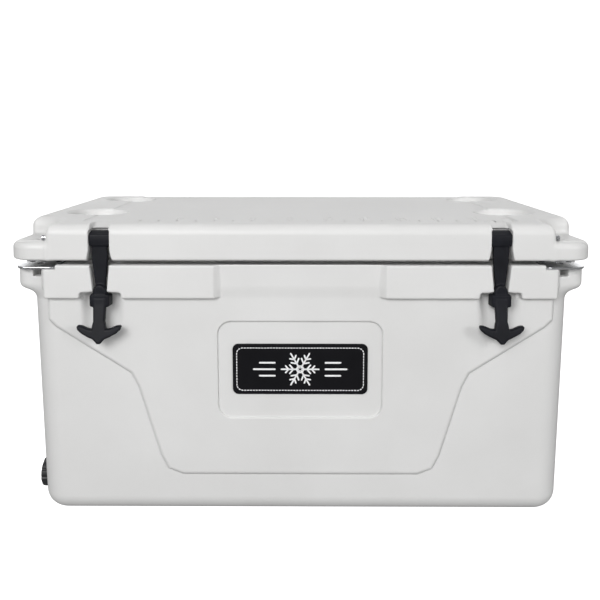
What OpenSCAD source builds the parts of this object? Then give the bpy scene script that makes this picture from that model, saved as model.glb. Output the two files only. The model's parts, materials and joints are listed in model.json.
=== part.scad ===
// Rotomoulded cooler chest: +X right, +Y back, +Z up, origin under the middle of the chest.

/* [Overall] */
// Length over the lid ledges
lid_l = 770; // [640:5:940]
// Depth from the front bands to the back bands
body_w = 422; // [360:2:520]
// Height of the rim above the ground
rim_z = 356; // [290:2:440]
// Thickness of the lid above its underside
lid_h = 48; // [44:1:60]
// Gap between the rim and the lid underside
lid_gap = 6; // [4:0.5:8]

/* [Body] */
// How far the lid ledge overhangs each end wall
end_overhang = 23; // [20:1:30]
// How far the bands stand in front of the main walls
band_out = 12; // [8:1:14]
// Height of the front and back bands
band_h = 45; // [40:1:60]
// Clear gap in the middle of the front, between the two bands
band_gap = 224; // [160:2:260]
// Distance from a band's outer end to the end of the lid
band_end = 47; // [44:1:60]
// Wall thickness from the main face to the cavity
wall_t = 50; // [44:1:70]
// Thickness of the floor
floor_t = 46; // [44:1:60]
// Skin thickness of the moulded shells
skin = 5; // [4:0.5:6]
// Radius of the upright corners
corner_r = 34; // [24:1:44]
// Radius of the bottom edge
bottom_r = 26; // [16:1:30]
// Draft of the front and back walls, top to bottom
draft_w = 10; // [0:1:14]
// Draft of the end walls, top to bottom
draft_l = 4; // [0:1:8]
// Radius of the cavity corners
cavity_r = 30; // [20:1:40]

/* [Front face] */
// How far the raised front panel stands out
panel_out = 5; // [2:0.5:6]
// Width of the label recess
recess_w = 220; // [160:2:240]
// Height of the label recess
recess_h = 133; // [90:1:140]
// How far the recess centre lies below the rim
recess_drop = 144; // [130:1:165]
// Depth of the label recess
recess_d = 3; // [1:0.5:4]
// Width of the badge plate
badge_w = 181; // [120:1:200]
// Height of the badge plate
badge_h = 70; // [50:1:90]
// Thickness of the badge plate
badge_t = 2; // [1:0.5:3]

/* [Latches] */
// Distance from the end of the lid to each latch
latch_in = 122; // [110:1:150]
// Height of the latch pin above the lid underside
latch_pin_up = 28; // [26:0.5:30]
// Depth of the latch pin behind the front
latch_pin_in = 15; // [14:0.5:17]
// Diameter of the latch pin
latch_pin_d = 8; // [6:0.5:9]
// Radius of the rubber loop round the pin
loop_r = 11.5; // [10:0.5:12]
// Width of the rubber loop
loop_w = 26; // [20:1:30]
// Width of the cross bar that holds under the band
bar_w = 28.5; // [26:0.5:40]
// Span of the pull flukes
fluke_w = 59; // [44:1:70]
// How far the flukes reach in front of the bands
front_reach = 17; // [15:1:20]
// Thickness of the strap
strap_t = 8; // [6:0.5:9]

/* [Lid] */
// Thickness of the lid ledges at the ends
ledge_h = 24; // [18:1:28]
// Length of the notch above each front ledge
notch_y = 95; // [80:1:110]
// Radius of the notch's inner corner
notch_r = 46; // [30:1:50]
// Depth of the lid plug inside the cavity
plug_h = 22; // [12:1:30]
// Clearance between the lid plug and the cavity
plug_clear = 4; // [3:0.5:8]
// Inner diameter of a cup holder
cup_d = 86; // [70:1:92]
// Depth of a cup holder
cup_h = 13; // [8:1:15]
// Distance from the lid end to the cup holder centres
cup_in = 79; // [74:1:90]
// Distance from the front to the front cup holders
cup_front = 154; // [146:1:170]
// Distance from the back to the rear cup holders
cup_back = 62; // [56:1:70]
// Depth of the sunken middle of the lid top
tray_d = 2.2; // [1:0.1:4]
// Width of the gasket strip
gasket_w = 10; // [6:0.5:14]

/* [Hinge] */
// Distance from the end of the lid to each hinge
hinge_in = 175; // [150:1:200]
// Length of a lid knuckle
lid_knuckle_l = 70; // [40:1:90]
// Length of a base knuckle
base_knuckle_l = 30; // [20:1:40]
// Diameter of the hinge pins
hinge_pin_d = 8; // [6:0.5:9]

/* [Corner plates] */
// Length of a corner plate along the chest
plate_l = 55; // [50:1:60]
// Depth of a corner plate
plate_w = 50; // [44:1:60]
// Thickness of a corner plate
plate_t = 3; // [2:0.5:4]
// Diameter of the padlock hole
lock_d = 11; // [8:0.5:12]

/* [Drain and feet] */
// Diameter of the drain cap
drain_cap_d = 42; // [34:1:46]
// Diameter of the drain bore
drain_bore_d = 20; // [14:1:22]
// Height of the drain axis above the ground
drain_z = 35; // [30:1:40]
// Distance of the drain axis behind the front
drain_in = 84; // [80:1:120]
// Height of the standing feet below the base
foot_out = 4; // [3:0.5:8]
// Length of a foot pad
foot_l = 60; // [40:1:80]
// Width of a foot pad
foot_w = 36; // [24:1:50]

/* [Hidden] */
$fn = 48;
eps = 0.01;
fit = 0.15;
run = 0.3;
front = -body_w / 2;
back = body_w / 2;
lid_x = lid_l / 2;
end_x = lid_x - end_overhang;
face_y = body_w / 2 - band_out;
band_x = lid_x - band_end;
band_z = rim_z - band_h;
lid_z = rim_z + lid_gap;
top_z = lid_z + lid_h;
latch_x = lid_x - latch_in;
hinge_x = lid_x - hinge_in;
recess_z = rim_z - recess_drop;
ear_in = 6;
ear_x = lid_x - ear_in;
ear_y = face_y - 3;
ear_drop = 34;
shoulder = 75;
waist = 150;
panel_up = 59;
cav_x = end_x - wall_t;
cav_y = face_y - wall_t;
floor_z = foot_out + floor_t;
plug_x = cav_x - plug_clear;
plug_y = cav_y - plug_clear;
plug_z = lid_z - plug_h;
gasket_in = 9;
gasket_sink = 3;
raised_in = 2;
notch_in = 52;
raised_x = lid_x - notch_in;
pin_reach = 9;
scoop_back = 24;
strip_d = 1.1;
strip_in = 35;
tray_in = 143;
pin_y = front + latch_pin_in;
pin_z = lid_z + latch_pin_up;
roof_z = band_z + 8;
bar_top = roof_z - 2;
bar_h = 16;
slot_w = loop_w + 1.2;
strap_w = 21;
neck_w = 15;
stem_w = 17;
pull_drop = 102;
tip_z = rim_z - pull_drop;
fluke_z = tip_z + 23;
hinge_r = front_reach / 2 + 0.5;
hinge_y = back + front_reach - hinge_r;
hinge_z = rim_z + lid_gap / 2;
knuckle_gap = 0.6;
hinge_half = lid_knuckle_l / 2 + knuckle_gap + base_knuckle_l;
cup_x = lid_x - cup_in;
cup_y_front = front + cup_front;
cup_y_back = back - cup_back;
cup_rim = 6;
plate_z = rim_z - 6;
plate_x = lid_x - 8 - plate_l / 2;
plate_y = front + 3 + plate_w / 2;
lock_x = lid_x - 36;
lock_y = front + 33;
screw_d = 4;
screw_l = 14;
screw_dx = [-19, 17];
screw_y = plate_y + 17;
drain_y = front + drain_in;
cap_t = 14;
drain_x = end_x - draft_l;
nut_x = -cav_x - 2;
nut_t = 7;
sump_l = 62;
sump_w = 46;
sump_z = drain_z - drain_bore_d / 2 - 1.5;
foot_sink = 3;
foot_x = end_x - draft_l - bottom_r - foot_l / 2 - 6;
foot_y = face_y - draft_w - bottom_r - foot_w / 2 - 4;
fill_d = 30;
lid_fill_x = 90;
void_r = 24;
grip_w = 190;
grip_h = 46;
grip_d = 24;
grip_drop = 98;
grip_z = rim_z - grip_drop;
badge_z = recess_z + 1;
slope = atan(draft_w / (rim_z - foot_out));
SHELL = "#d6d5d1";
FOAM = "#e8d9a0";
RUBBER = "#202329";
STEEL = "#b9bcc0";

// ---- shared shapes ----

// A rounded rectangle centred on the origin
module round_rect(l, w, r) {
    square([l - 2 * r, w], center = true);
    square([l, w - 2 * r], center = true);
    for (sx = [-1, 1], sy = [-1, 1])
        translate([sx * (l / 2 - r), sy * (w / 2 - r)]) circle(r);
}

// A slab with rounded upright corners, from z0 to z1
module slab(l, w, r, z0, z1) {
    translate([0, 0, z0]) linear_extrude(z1 - z0) round_rect(l, w, r);
}

// A tapered tub with a rounded bottom edge; in_l and in_w are the drafts per side
module tub(hx, hy, r, br, z0, z1, in_l, in_w) {
    hull() {
        for (sx = [-1, 1], sy = [-1, 1]) {
            translate([sx * (hx - r), sy * (hy - r), z1 - 1]) cylinder(r = r, h = 1, $fn = 32);
            translate([sx * (hx - in_l - br), sy * (hy - in_w - br), z0 + br]) sphere(br, $fn = 24);
        }
    }
}

// The same shape mirrored to both ends
module both() {
    children();
    mirror([1, 0, 0]) children();
}

// A solid drawn in the Y-Z plane and extruded along X, centred on x
module along_x(x, l) {
    translate([x - l / 2, 0, 0]) rotate([90, 0, 90]) linear_extrude(l) children();
}

// A cylinder along X from x0 to x1
module rod(x0, x1, y, z, d) {
    translate([x0, y, z]) rotate([0, 90, 0]) cylinder(d = d, h = x1 - x0);
}

// A countersunk screw pointing down, its head flush with z = 0
module screw_down(d, l) {
    translate([0, 0, -d / 2]) cylinder(d1 = d, d2 = 2 * d, h = d / 2);
    translate([0, 0, -l]) cylinder(d = d, h = l - d / 2 + eps);
}

// ---- base ----

module base_bands() {
    inner = band_gap / 2;
    ramp = band_out - 1;
    both() for (s = [-1, 1])
        translate([0, 0, band_z]) linear_extrude(band_h)
            polygon([[inner - ramp, s * (face_y - 2)], [inner, s * body_w / 2],
                [band_x - 4, s * body_w / 2], [band_x, s * (body_w / 2 - 4)],
                [band_x, s * (face_y - 30)], [inner - ramp, s * (face_y - 30)]]);
}

module end_flange() {
    intersection() {
        slab(2 * ear_x, 2 * ear_y, 18, 0, rim_z);
        union() for (s = [0, 1]) mirror([s, 0, 0])
            translate([0, ear_y, 0]) rotate([90, 0, 0]) linear_extrude(2 * ear_y)
                polygon([[cav_x + 30, rim_z], [ear_x, rim_z], [ear_x, rim_z - ear_drop],
                    [ear_x - 4, rim_z - ear_drop - 10], [ear_x - 14, rim_z - ear_drop - 16],
                    [ear_x - 18, rim_z - ear_drop - 26], [cav_x + 30, rim_z - ear_drop - 40]]);
    }
}

module front_panel() {
    low = foot_out + panel_up - rim_z;
    both() translate([0, front + band_out + 1, rim_z]) rotate([90 + slope, 0, 0])
        linear_extrude(panel_out + 1)
            polygon([[0, -20], [band_x - 2, -20], [band_x - 2, -shoulder], [band_x - 12, -shoulder - 11],
                [latch_x - 37, -waist], [latch_x - 45, -waist - 17], [latch_x - 73, low + 29],
                [latch_x - 82, low + 12], [latch_x - 103, low], [0, low]]);
}

module base_outer() {
    tub(end_x, face_y, corner_r, bottom_r, foot_out, rim_z, draft_l, draft_w);
    base_bands();
    end_flange();
    front_panel();
    mirror([0, 1, 0]) front_panel();
    hinge_webs();
}

module hinge_webs() {
    for (sx = [-1, 1], k = [-1, 1]) {
        x = sx * hinge_x + k * (lid_knuckle_l / 2 + knuckle_gap + base_knuckle_l / 2);
        along_x(x, base_knuckle_l) {
            translate([hinge_y, hinge_z]) circle(hinge_r);
            polygon([[back - 8, rim_z], [back - 8, rim_z - 34], [back, rim_z - 34],
                [hinge_y + hinge_r, hinge_z - 4], [hinge_y + hinge_r, hinge_z],
                [hinge_y - hinge_r + 1, hinge_z], [hinge_y - hinge_r + 1, rim_z]]);
        }
    }
}

module cavity(grow) {
    tub(cav_x + grow, cav_y + grow, cavity_r + grow, cavity_r + grow, floor_z - grow, rim_z + 1,
        6, 5);
}

module sump(grow) {
    x0 = -cav_x + 8 - grow;
    translate([x0, drain_y - sump_w / 2 - grow, sump_z - grow])
        cube([sump_l + 2 * grow, sump_w + 2 * grow, floor_z + 12 - sump_z + grow]);
}

// The foam space between the skins
module base_void(grow) {
    difference() {
        tub(end_x - skin + grow, face_y - skin + grow, corner_r - skin + grow,
            bottom_r - skin + grow, foot_out + skin - grow, rim_z - skin - 1 + grow, draft_l, draft_w);
        cavity(skin - grow);
        sump(skin - grow);
        drain_boss(-grow);
        both() for (s = [-1, 1]) {
            translate([foot_x, s * foot_y, 0])
                slab(foot_l + 12 - 2 * grow, foot_w + 12 - 2 * grow, 10, foot_out, foot_out + 22 - grow);
            translate([ear_x - 60, s * (face_y - 40) - 40 + grow, rim_z - 70 + grow])
                cube([70, 80 - 2 * grow, 80]);
        }
        both() grip(skin - grow);
        translate([0, 0, -grow]) latch_boss(-grow);
    }
}

module drain_boss(grow) {
    rod(-lid_x, -cav_x + 12, drain_y, drain_z, drain_bore_d + 28 + 2 * grow);
}

// Solid blocks behind the latch slots
module latch_boss(grow) {
    both() translate([latch_x - 40 - grow, front, band_z - 50 - grow])
        cube([80 + 2 * grow, band_out + 16 + grow, 110]);
}

// Hand grip under each end flange
module grip(grow) {
    w = grip_w + 2 * grow;
    h = grip_h + 2 * grow;
    translate([end_x - grip_d - grow, 0, grip_z]) rotate([90, 0, 90])
        linear_extrude(grip_d + 40) round_rect(w, h, 16 + grow);
}

module latch_slots() {
    both() translate([latch_x, 0, 0]) {
        // V-shaped slot for the strap through the band
        translate([0, front - 1, 0]) rotate([-90, 0, 0]) linear_extrude(band_out + 8)
            polygon([[-12.8, -rim_z - 1], [12.8, -rim_z - 1], [neck_w / 2 + 1.2, -roof_z + 0.5],
                [-neck_w / 2 - 1.2, -roof_z + 0.5]]);
        // Notch under the band for the cross bar
        translate([-27, front - 1, band_z - 1]) cube([54, band_out + 1 + eps, roof_z - band_z + 1]);
        // Pocket behind the bar
        translate([-bar_w / 2 - 1.5, front, roof_z - bar_h - 6])
            cube([bar_w + 3, band_out + 8, bar_h + 6]);
        // Channel that runs out below
        translate([0, front + band_out + 12, roof_z - bar_h - 6]) rotate([90 - 14, 0, 0])
            linear_extrude(30) translate([-22, -70]) square([44, 82]);
    }
}

module label_recess() {
    translate([0, front + band_out, rim_z]) rotate([90 + slope, 0, 0])
        translate([0, (recess_z - rim_z) / cos(slope), panel_out - recess_d]) linear_extrude(20)
            round_rect(recess_w, recess_h, 18);
}

module plate_seats() {
    both() {
        translate([plate_x - plate_l / 2 - 0.5, front - 1, plate_z])
            cube([plate_l + 20, plate_w + 4.5, 20]);
        translate([lock_x, lock_y, plate_z - 30]) cylinder(d = lock_d, h = 40);
        translate([lock_x - 6, front - 1, plate_z - 10]) cube([12, lock_y - front + 1, 10 - 1.5]);
        for (dx = screw_dx) translate([plate_x + dx, screw_y, plate_z - screw_l])
            cylinder(d = screw_d + 0.1, h = screw_l + 1);
    }
}

module hinge_reliefs_base() {
    for (sx = [-1, 1]) {
        rod(sx * hinge_x - lid_knuckle_l / 2 - knuckle_gap, sx * hinge_x + lid_knuckle_l / 2 + knuckle_gap,
            hinge_y, hinge_z, 2 * hinge_r + 3);
        rod(sx * hinge_x - hinge_half - 20, sx * hinge_x + hinge_half - 4, hinge_y, hinge_z,
            hinge_pin_d + 0.1);
    }
}

module base_shell() {
    color(SHELL) difference() {
        base_outer();
        cavity(0);
        sump(0);
        base_void(0);
        both() grip(0);
        latch_slots();
        label_recess();
        plate_seats();
        hinge_reliefs_base();
        rod(-lid_x, -cav_x + 20, drain_y, drain_z, drain_bore_d + 6);
        rod(-lid_x, -drain_x + 2, drain_y, drain_z, drain_cap_d + 4);
        rod(nut_x, -cav_x + 8 + eps, drain_y, drain_z, drain_bore_d + 18);
        for (sx = [-1, 1], sy = [-1, 1]) translate([sx * foot_x, sy * foot_y, 0]) {
            slab(foot_l + 1, foot_w + 1, 8.5, 0, foot_out + foot_sink);
            cylinder(d = screw_d + 0.1, h = foot_out + 18);
        }
        cylinder(d = fill_d, h = 30);
    }
}

module base_foam() {
    color(FOAM) difference() {
        base_void(-fit);
        cylinder(d = fill_d + 1, h = 22);
    }
}

module base_fill_plug() {
    color(SHELL) {
        translate([0, 0, foot_out - 1]) cylinder(d = fill_d + 10, h = 1);
        translate([0, 0, foot_out - eps]) cylinder(d = fill_d - 2 * fit, h = 10);
    }
}

module foot(sx, sy) {
    color(RUBBER) translate([sx * foot_x, sy * foot_y, 0]) difference() {
        slab(foot_l, foot_w, 8, 0, foot_out + foot_sink - eps);
        translate([0, 0, -1]) cylinder(d = screw_d + 0.2, h = 20);
        translate([0, 0, -1]) cylinder(d = 2 * screw_d + 0.4, h = 2);
        translate([0, 0, 1 - eps]) cylinder(d1 = 2 * screw_d + 0.4, d2 = screw_d + 0.2, h = screw_d / 2);
    }
}

module foot_screws() {
    color(STEEL) for (sx = [-1, 1], sy = [-1, 1])
        translate([sx * foot_x, sy * foot_y, 1.1]) mirror([0, 0, 1]) screw_down(screw_d, 18);
}

module lock_plate() {
    color(STEEL) difference() {
        intersection() {
            translate([plate_x, plate_y, plate_z]) linear_extrude(plate_t)
                round_rect(plate_l, plate_w, 8);
            translate([0, 0, plate_z - 1]) slab(2 * ear_x - 2, body_w, 26, 0, plate_t + 2);
        }
        for (dy = [-2, 2]) translate([lock_x, lock_y + dy, plate_z - 1]) cylinder(d = lock_d, h = 9);
        for (dx = screw_dx) translate([plate_x + dx, screw_y, plate_z]) {
            translate([0, 0, -1]) cylinder(d = screw_d + 0.2, h = 6);
            translate([0, 0, plate_t - screw_d / 2]) cylinder(d1 = screw_d + 0.2,
                d2 = 2 * screw_d + 0.4, h = screw_d / 2 + eps);
        }
    }
}

module lock_plate_screws() {
    color(STEEL) both() for (dx = screw_dx)
        translate([plate_x + dx, screw_y, plate_z + plate_t - 0.1]) screw_down(screw_d, screw_l);
}

module drain_hull() {
    seat = -drain_x + 2;
    color(RUBBER) difference() {
        union() {
            rod(seat - 3, seat - run, drain_y, drain_z, drain_cap_d - 8);
            rod(seat - 9, nut_x + nut_t + 1, drain_y, drain_z, drain_bore_d + 5.4);
        }
        rod(seat - 20, -cav_x + 30, drain_y, drain_z, drain_bore_d);
    }
}

module drain_nut() {
    color(RUBBER) difference() {
        translate([nut_x + 0.2, drain_y, drain_z]) rotate([0, 90, 0])
            cylinder(d = drain_bore_d + 15, h = nut_t, $fn = 6);
        rod(nut_x - 1, nut_x + nut_t + 2, drain_y, drain_z, drain_bore_d + 5.6);
    }
}

module drain_hull_seal() {
    x0 = -drain_x + 2 - run + 0.01;
    color(RUBBER) difference() {
        rod(x0, x0 + run - 0.02, drain_y, drain_z, drain_cap_d - 8);
        rod(x0 - 1, x0 + 2, drain_y, drain_z, drain_bore_d + 6);
    }
}

module drain_cap() {
    x1 = -drain_x - 1.5;
    r = drain_cap_d / 2;
    color(RUBBER) difference() {
        translate([x1, drain_y, drain_z]) rotate([0, -90, 0]) {
            cylinder(r = r, h = cap_t - 2);
            translate([0, 0, cap_t - 2 - eps]) cylinder(r1 = r, r2 = r - 2, h = 2);
        }
        rod(x1 - 8, x1 + 1, drain_y, drain_z, drain_bore_d + 6);
        for (a = [0:30:330]) translate([x1 - cap_t - 1, drain_y, drain_z]) rotate([a, 0, 0])
            translate([0, r + 0.6, 0]) rotate([0, 90, 0]) cylinder(d = 4, h = cap_t + 2, $fn = 16);
    }
}

module drain_cap_seal() {
    color(RUBBER) difference() {
        rod(-drain_x - 9.3, -drain_x - 7.6, drain_y, drain_z, drain_bore_d + 5.4);
        rod(-drain_x - 11, -drain_x - 6, drain_y, drain_z, drain_bore_d + 0.4);
    }
}

module badge() {
    color("#141518") translate([0, front + band_out, rim_z]) rotate([90 + slope, 0, 0])
        translate([0, (badge_z - rim_z) / cos(slope), panel_out - recess_d + 0.02])
            linear_extrude(badge_t) round_rect(badge_w, badge_h, 8);
}

module hinge_pin(sx) {
    color(STEEL) rod(sx * hinge_x - hinge_half, sx * hinge_x + hinge_half - 6, hinge_y, hinge_z,
        hinge_pin_d);
}

// ---- lid ----

// Plan of the raised part of the lid, with a curved notch at each front corner
module raised_plan() {
    difference() {
        round_rect(lid_l - raised_in, body_w, 28);
        for (s = [0, 1]) mirror([s, 0, 0]) {
            translate([raised_x, front - 1]) square([80, notch_y + 1 - notch_r]);
            translate([raised_x + notch_r, front + notch_y - notch_r]) circle(notch_r);
            translate([raised_x + notch_r, front]) square([60, notch_y]);
        }
    }
}

module lid_outer() {
    slab(lid_l, body_w, 32, lid_z, lid_z + ledge_h);
    translate([0, 0, lid_z + eps]) linear_extrude(lid_h - 8) raised_plan();
    intersection() {
        translate([0, 0, lid_z + 10]) linear_extrude(lid_h - 10) raised_plan();
        crown();
    }
    slab(2 * plug_x, 2 * plug_y, cavity_r - plug_clear, plug_z, lid_z + 5);
    lid_knuckles();
}

// Rounded front and back edges of the lid top
module crown() {
    r = 20;
    along_x(0, lid_l) {
        translate([front, lid_z]) square([body_w, lid_h - r]);
        translate([front + r, lid_z]) square([body_w - 2 * r, lid_h]);
        translate([front + r, top_z - r]) circle(r);
        translate([back - r, top_z - r]) circle(r);
    }
}

module lid_knuckles() {
    for (sx = [-1, 1]) along_x(sx * hinge_x, lid_knuckle_l) {
        translate([hinge_y, hinge_z]) circle(hinge_r);
        polygon([[back - 6, lid_z], [hinge_y - 2, lid_z], [hinge_y - 2, hinge_z],
            [hinge_y + hinge_r, hinge_z], [hinge_y + hinge_r, hinge_z + 4],
            [back, lid_z + 30], [back - 6, lid_z + 30]]);
    }
}

module lid_void(grow) {
    difference() {
        union() {
            slab(2 * (raised_x - 14 + grow), 2 * (back - 50 + grow), void_r, lid_z + 6 - grow,
                top_z - tray_d - skin - 1 + grow);
            slab(2 * (plug_x - skin + grow), 2 * (plug_y - skin + grow), void_r,
                plug_z + skin - grow, lid_z + 8);
        }
        for (sx = [-1, 1], y = [cup_y_front, cup_y_back])
            translate([sx * cup_x, y, top_z - cup_h - skin + grow])
                cylinder(r = cup_d / 2 + cup_rim + skin - grow, h = 60);
    }
}

module cup_holders() {
    for (sx = [-1, 1], y = [cup_y_front, cup_y_back]) translate([sx * cup_x, y, 0]) {
        translate([0, 0, top_z - cup_h]) cylinder(d = cup_d, h = cup_h + 1);
        translate([0, 0, top_z - 4]) cylinder(d1 = cup_d, d2 = cup_d + 10, h = 5);
    }
}

module lid_latch_slots() {
    both() translate([latch_x, 0, 0]) {
        // Pocket round the loop, open at the front
        rod(-slot_w / 2, slot_w / 2, pin_y, pin_z, 2 * loop_r + 2);
        translate([-slot_w / 2, front - 1, lid_z - 1])
            cube([slot_w, latch_pin_in + 1 + loop_r - 4, pin_z - lid_z + 1]);
        translate([-slot_w / 2, front - 1, pin_z - 4]) cube([slot_w, latch_pin_in + 1, loop_r + 5]);
        // Flare at the bottom
        translate([0, front - 1, 0]) rotate([-90, 0, 0]) linear_extrude(14)
            polygon([[-16, -lid_z + 1], [16, -lid_z + 1], [16, -lid_z - 2], [slot_w / 2, -lid_z - 14],
                [-slot_w / 2, -lid_z - 14], [-16, -lid_z - 2]]);
        // Sloped scoop up to the lid top
        along_x(0, 18) polygon([[front - 1, pin_z + 6], [pin_y + 2, pin_z + 8],
            [pin_y + scoop_back, top_z + 1], [front - 1, top_z + 1]]);
        // Bore of the latch pin, open at the notch wall
        rod(-slot_w / 2 - 8, raised_x - latch_x + pin_reach + 14, pin_y, pin_z, latch_pin_d + 2 * fit);
    }
}

module hinge_reliefs_lid() {
    for (sx = [-1, 1], k = [-1, 1]) {
        x = sx * hinge_x + k * (lid_knuckle_l / 2 + knuckle_gap + base_knuckle_l / 2);
        rod(x - base_knuckle_l / 2 - knuckle_gap, x + base_knuckle_l / 2 + knuckle_gap, hinge_y, hinge_z,
            2 * hinge_r + 3);
    }
    for (sx = [-1, 1])
        rod(sx * hinge_x - hinge_half, sx * hinge_x + hinge_half, hinge_y, hinge_z, hinge_pin_d + 3);
}

module gasket_ring(w, z0, z1) {
    r = cavity_r + gasket_in;
    difference() {
        slab(2 * (cav_x + gasket_in + w / 2), 2 * (cav_y + gasket_in + w / 2), r + w / 2, z0, z1);
        slab(2 * (cav_x + gasket_in - w / 2), 2 * (cav_y + gasket_in - w / 2), r - w / 2, z0 - 1, z1 + 1);
    }
}

module lid_shell() {
    color(SHELL) difference() {
        lid_outer();
        lid_void(0);
        cup_holders();
        translate([-(cup_x - 12), front + tray_in, top_z - tray_d]) cube([2 * (cup_x - 12), body_w, 10]);
        translate([-(cup_x - 12), front + strip_in, top_z - strip_d]) cube([2 * (cup_x - 12), tray_in, 10]);
        lid_latch_slots();
        hinge_reliefs_lid();
        gasket_ring(gasket_w + 2 * fit, lid_z - 1, lid_z + gasket_sink + fit);
        both() translate([lock_x, lock_y, lid_z - 1]) cylinder(d = lock_d, h = ledge_h + 4);
        translate([lid_fill_x, 0, plug_z - 1]) cylinder(d = fill_d, h = 20);
    }
}

module lid_foam() {
    color(FOAM) difference() {
        lid_void(-fit);
        translate([lid_fill_x, 0, plug_z - 1]) cylinder(d = fill_d + 1, h = 13);
    }
}

module lid_gasket() {
    color("#3b3d40") gasket_ring(gasket_w, rim_z + run, lid_z + gasket_sink);
}

module lid_fill_plug() {
    color(SHELL) translate([lid_fill_x, 0, 0]) {
        translate([0, 0, plug_z - 1]) cylinder(d = fill_d + 10, h = 1);
        translate([0, 0, plug_z - eps]) cylinder(d = fill_d - 2 * fit, h = 10);
    }
}

module latch_pin() {
    color(STEEL) rod(latch_x - slot_w / 2 - 7, raised_x + pin_reach, pin_y, pin_z, latch_pin_d);
}

module hinge_bush(sx) {
    color(RUBBER) difference() {
        rod(sx * hinge_x - lid_knuckle_l / 2, sx * hinge_x + lid_knuckle_l / 2, hinge_y, hinge_z,
            hinge_pin_d + 2.9);
        rod(sx * hinge_x - 100, sx * hinge_x + 100, hinge_y, hinge_z, hinge_pin_d + 0.1);
    }
}

// ---- latch ----

// Front outline of the latch below the loop, in X and Z
module latch_front() {
    polygon([[-strap_w / 2, pin_z], [strap_w / 2, pin_z], [strap_w / 2, lid_z],
        [neck_w / 2, bar_top + 10], [neck_w / 2, bar_top - 1], [-neck_w / 2, bar_top - 1],
        [-neck_w / 2, bar_top + 10], [-strap_w / 2, lid_z]]);
    translate([-bar_w / 2, bar_top - bar_h]) square([bar_w, bar_h]);
}

module anchor_front() {
    polygon([[-stem_w / 2, bar_top - 6], [stem_w / 2, bar_top - 6], [stem_w / 2, fluke_z + 3],
        [fluke_w / 2 - 8, fluke_z - 3], [fluke_w / 2, fluke_z + 2], [fluke_w / 2 - 7, tip_z + 11],
        [8, tip_z], [-8, tip_z], [-fluke_w / 2 + 7, tip_z + 11], [-fluke_w / 2, fluke_z + 2],
        [-fluke_w / 2 + 8, fluke_z - 3], [-stem_w / 2, fluke_z + 3]]);
}

module latch() {
    strap_y = front + 3;
    color(RUBBER) translate([latch_x, 0, 0]) difference() {
        union() {
            rod(-loop_w / 2, loop_w / 2, pin_y, pin_z, 2 * loop_r);
            intersection() {
                translate([0, strap_y + strap_t, 0]) rotate([90, 0, 0]) linear_extrude(strap_t + 12)
                    latch_front();
                along_x(0, 60) polygon([[strap_y, pin_z], [strap_y + strap_t, pin_z],
                    [strap_y + strap_t, bar_top - 3], [strap_y + strap_t - 4, bar_top - bar_h],
                    [front - 3, bar_top - bar_h], [front - 3, bar_top - 3], [strap_y, bar_top + 6]]);
            }
            intersection() {
                translate([0, front + 10, 0]) rotate([90, 0, 0]) linear_extrude(60) anchor_front();
                along_x(0, 90) polygon([[front + 2, bar_top - 6], [front - 4, bar_top - 6],
                    [front - front_reach, tip_z + 16], [front - front_reach, tip_z],
                    [front - front_reach + 8, tip_z], [front - front_reach + 9, tip_z + 14],
                    [front + 4, bar_top - bar_h]]);
            }
        }
        rod(-50, 50, pin_y, pin_z, latch_pin_d + 0.1);
    }
}

base_shell();
base_foam();
base_fill_plug();
foot(-1, -1);  // foot_front_left
foot(1, -1);  // foot_front_right
foot(-1, 1);  // foot_back_left
foot(1, 1);  // foot_back_right
foot_screws();
mirror([1, 0, 0]) lock_plate();  // lock_plate_left
lock_plate();  // lock_plate_right
lock_plate_screws();
drain_hull();
drain_nut();
drain_hull_seal();
badge();
hinge_pin(-1);  // hinge_pin_left
hinge_pin(1);  // hinge_pin_right
lid_shell();
lid_foam();
lid_gasket();
lid_fill_plug();
mirror([1, 0, 0]) latch_pin();  // latch_pin_left
latch_pin();  // latch_pin_right
hinge_bush(-1);  // hinge_bush_left
hinge_bush(1);  // hinge_bush_right
mirror([1, 0, 0]) latch();  // latch_left
latch();  // latch_right
drain_cap();
drain_cap_seal();
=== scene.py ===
"""A rotomoulded cooler chest: soft-edged shells, rubber latches, steel corner plates and a drain."""
import json
import math

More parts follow.
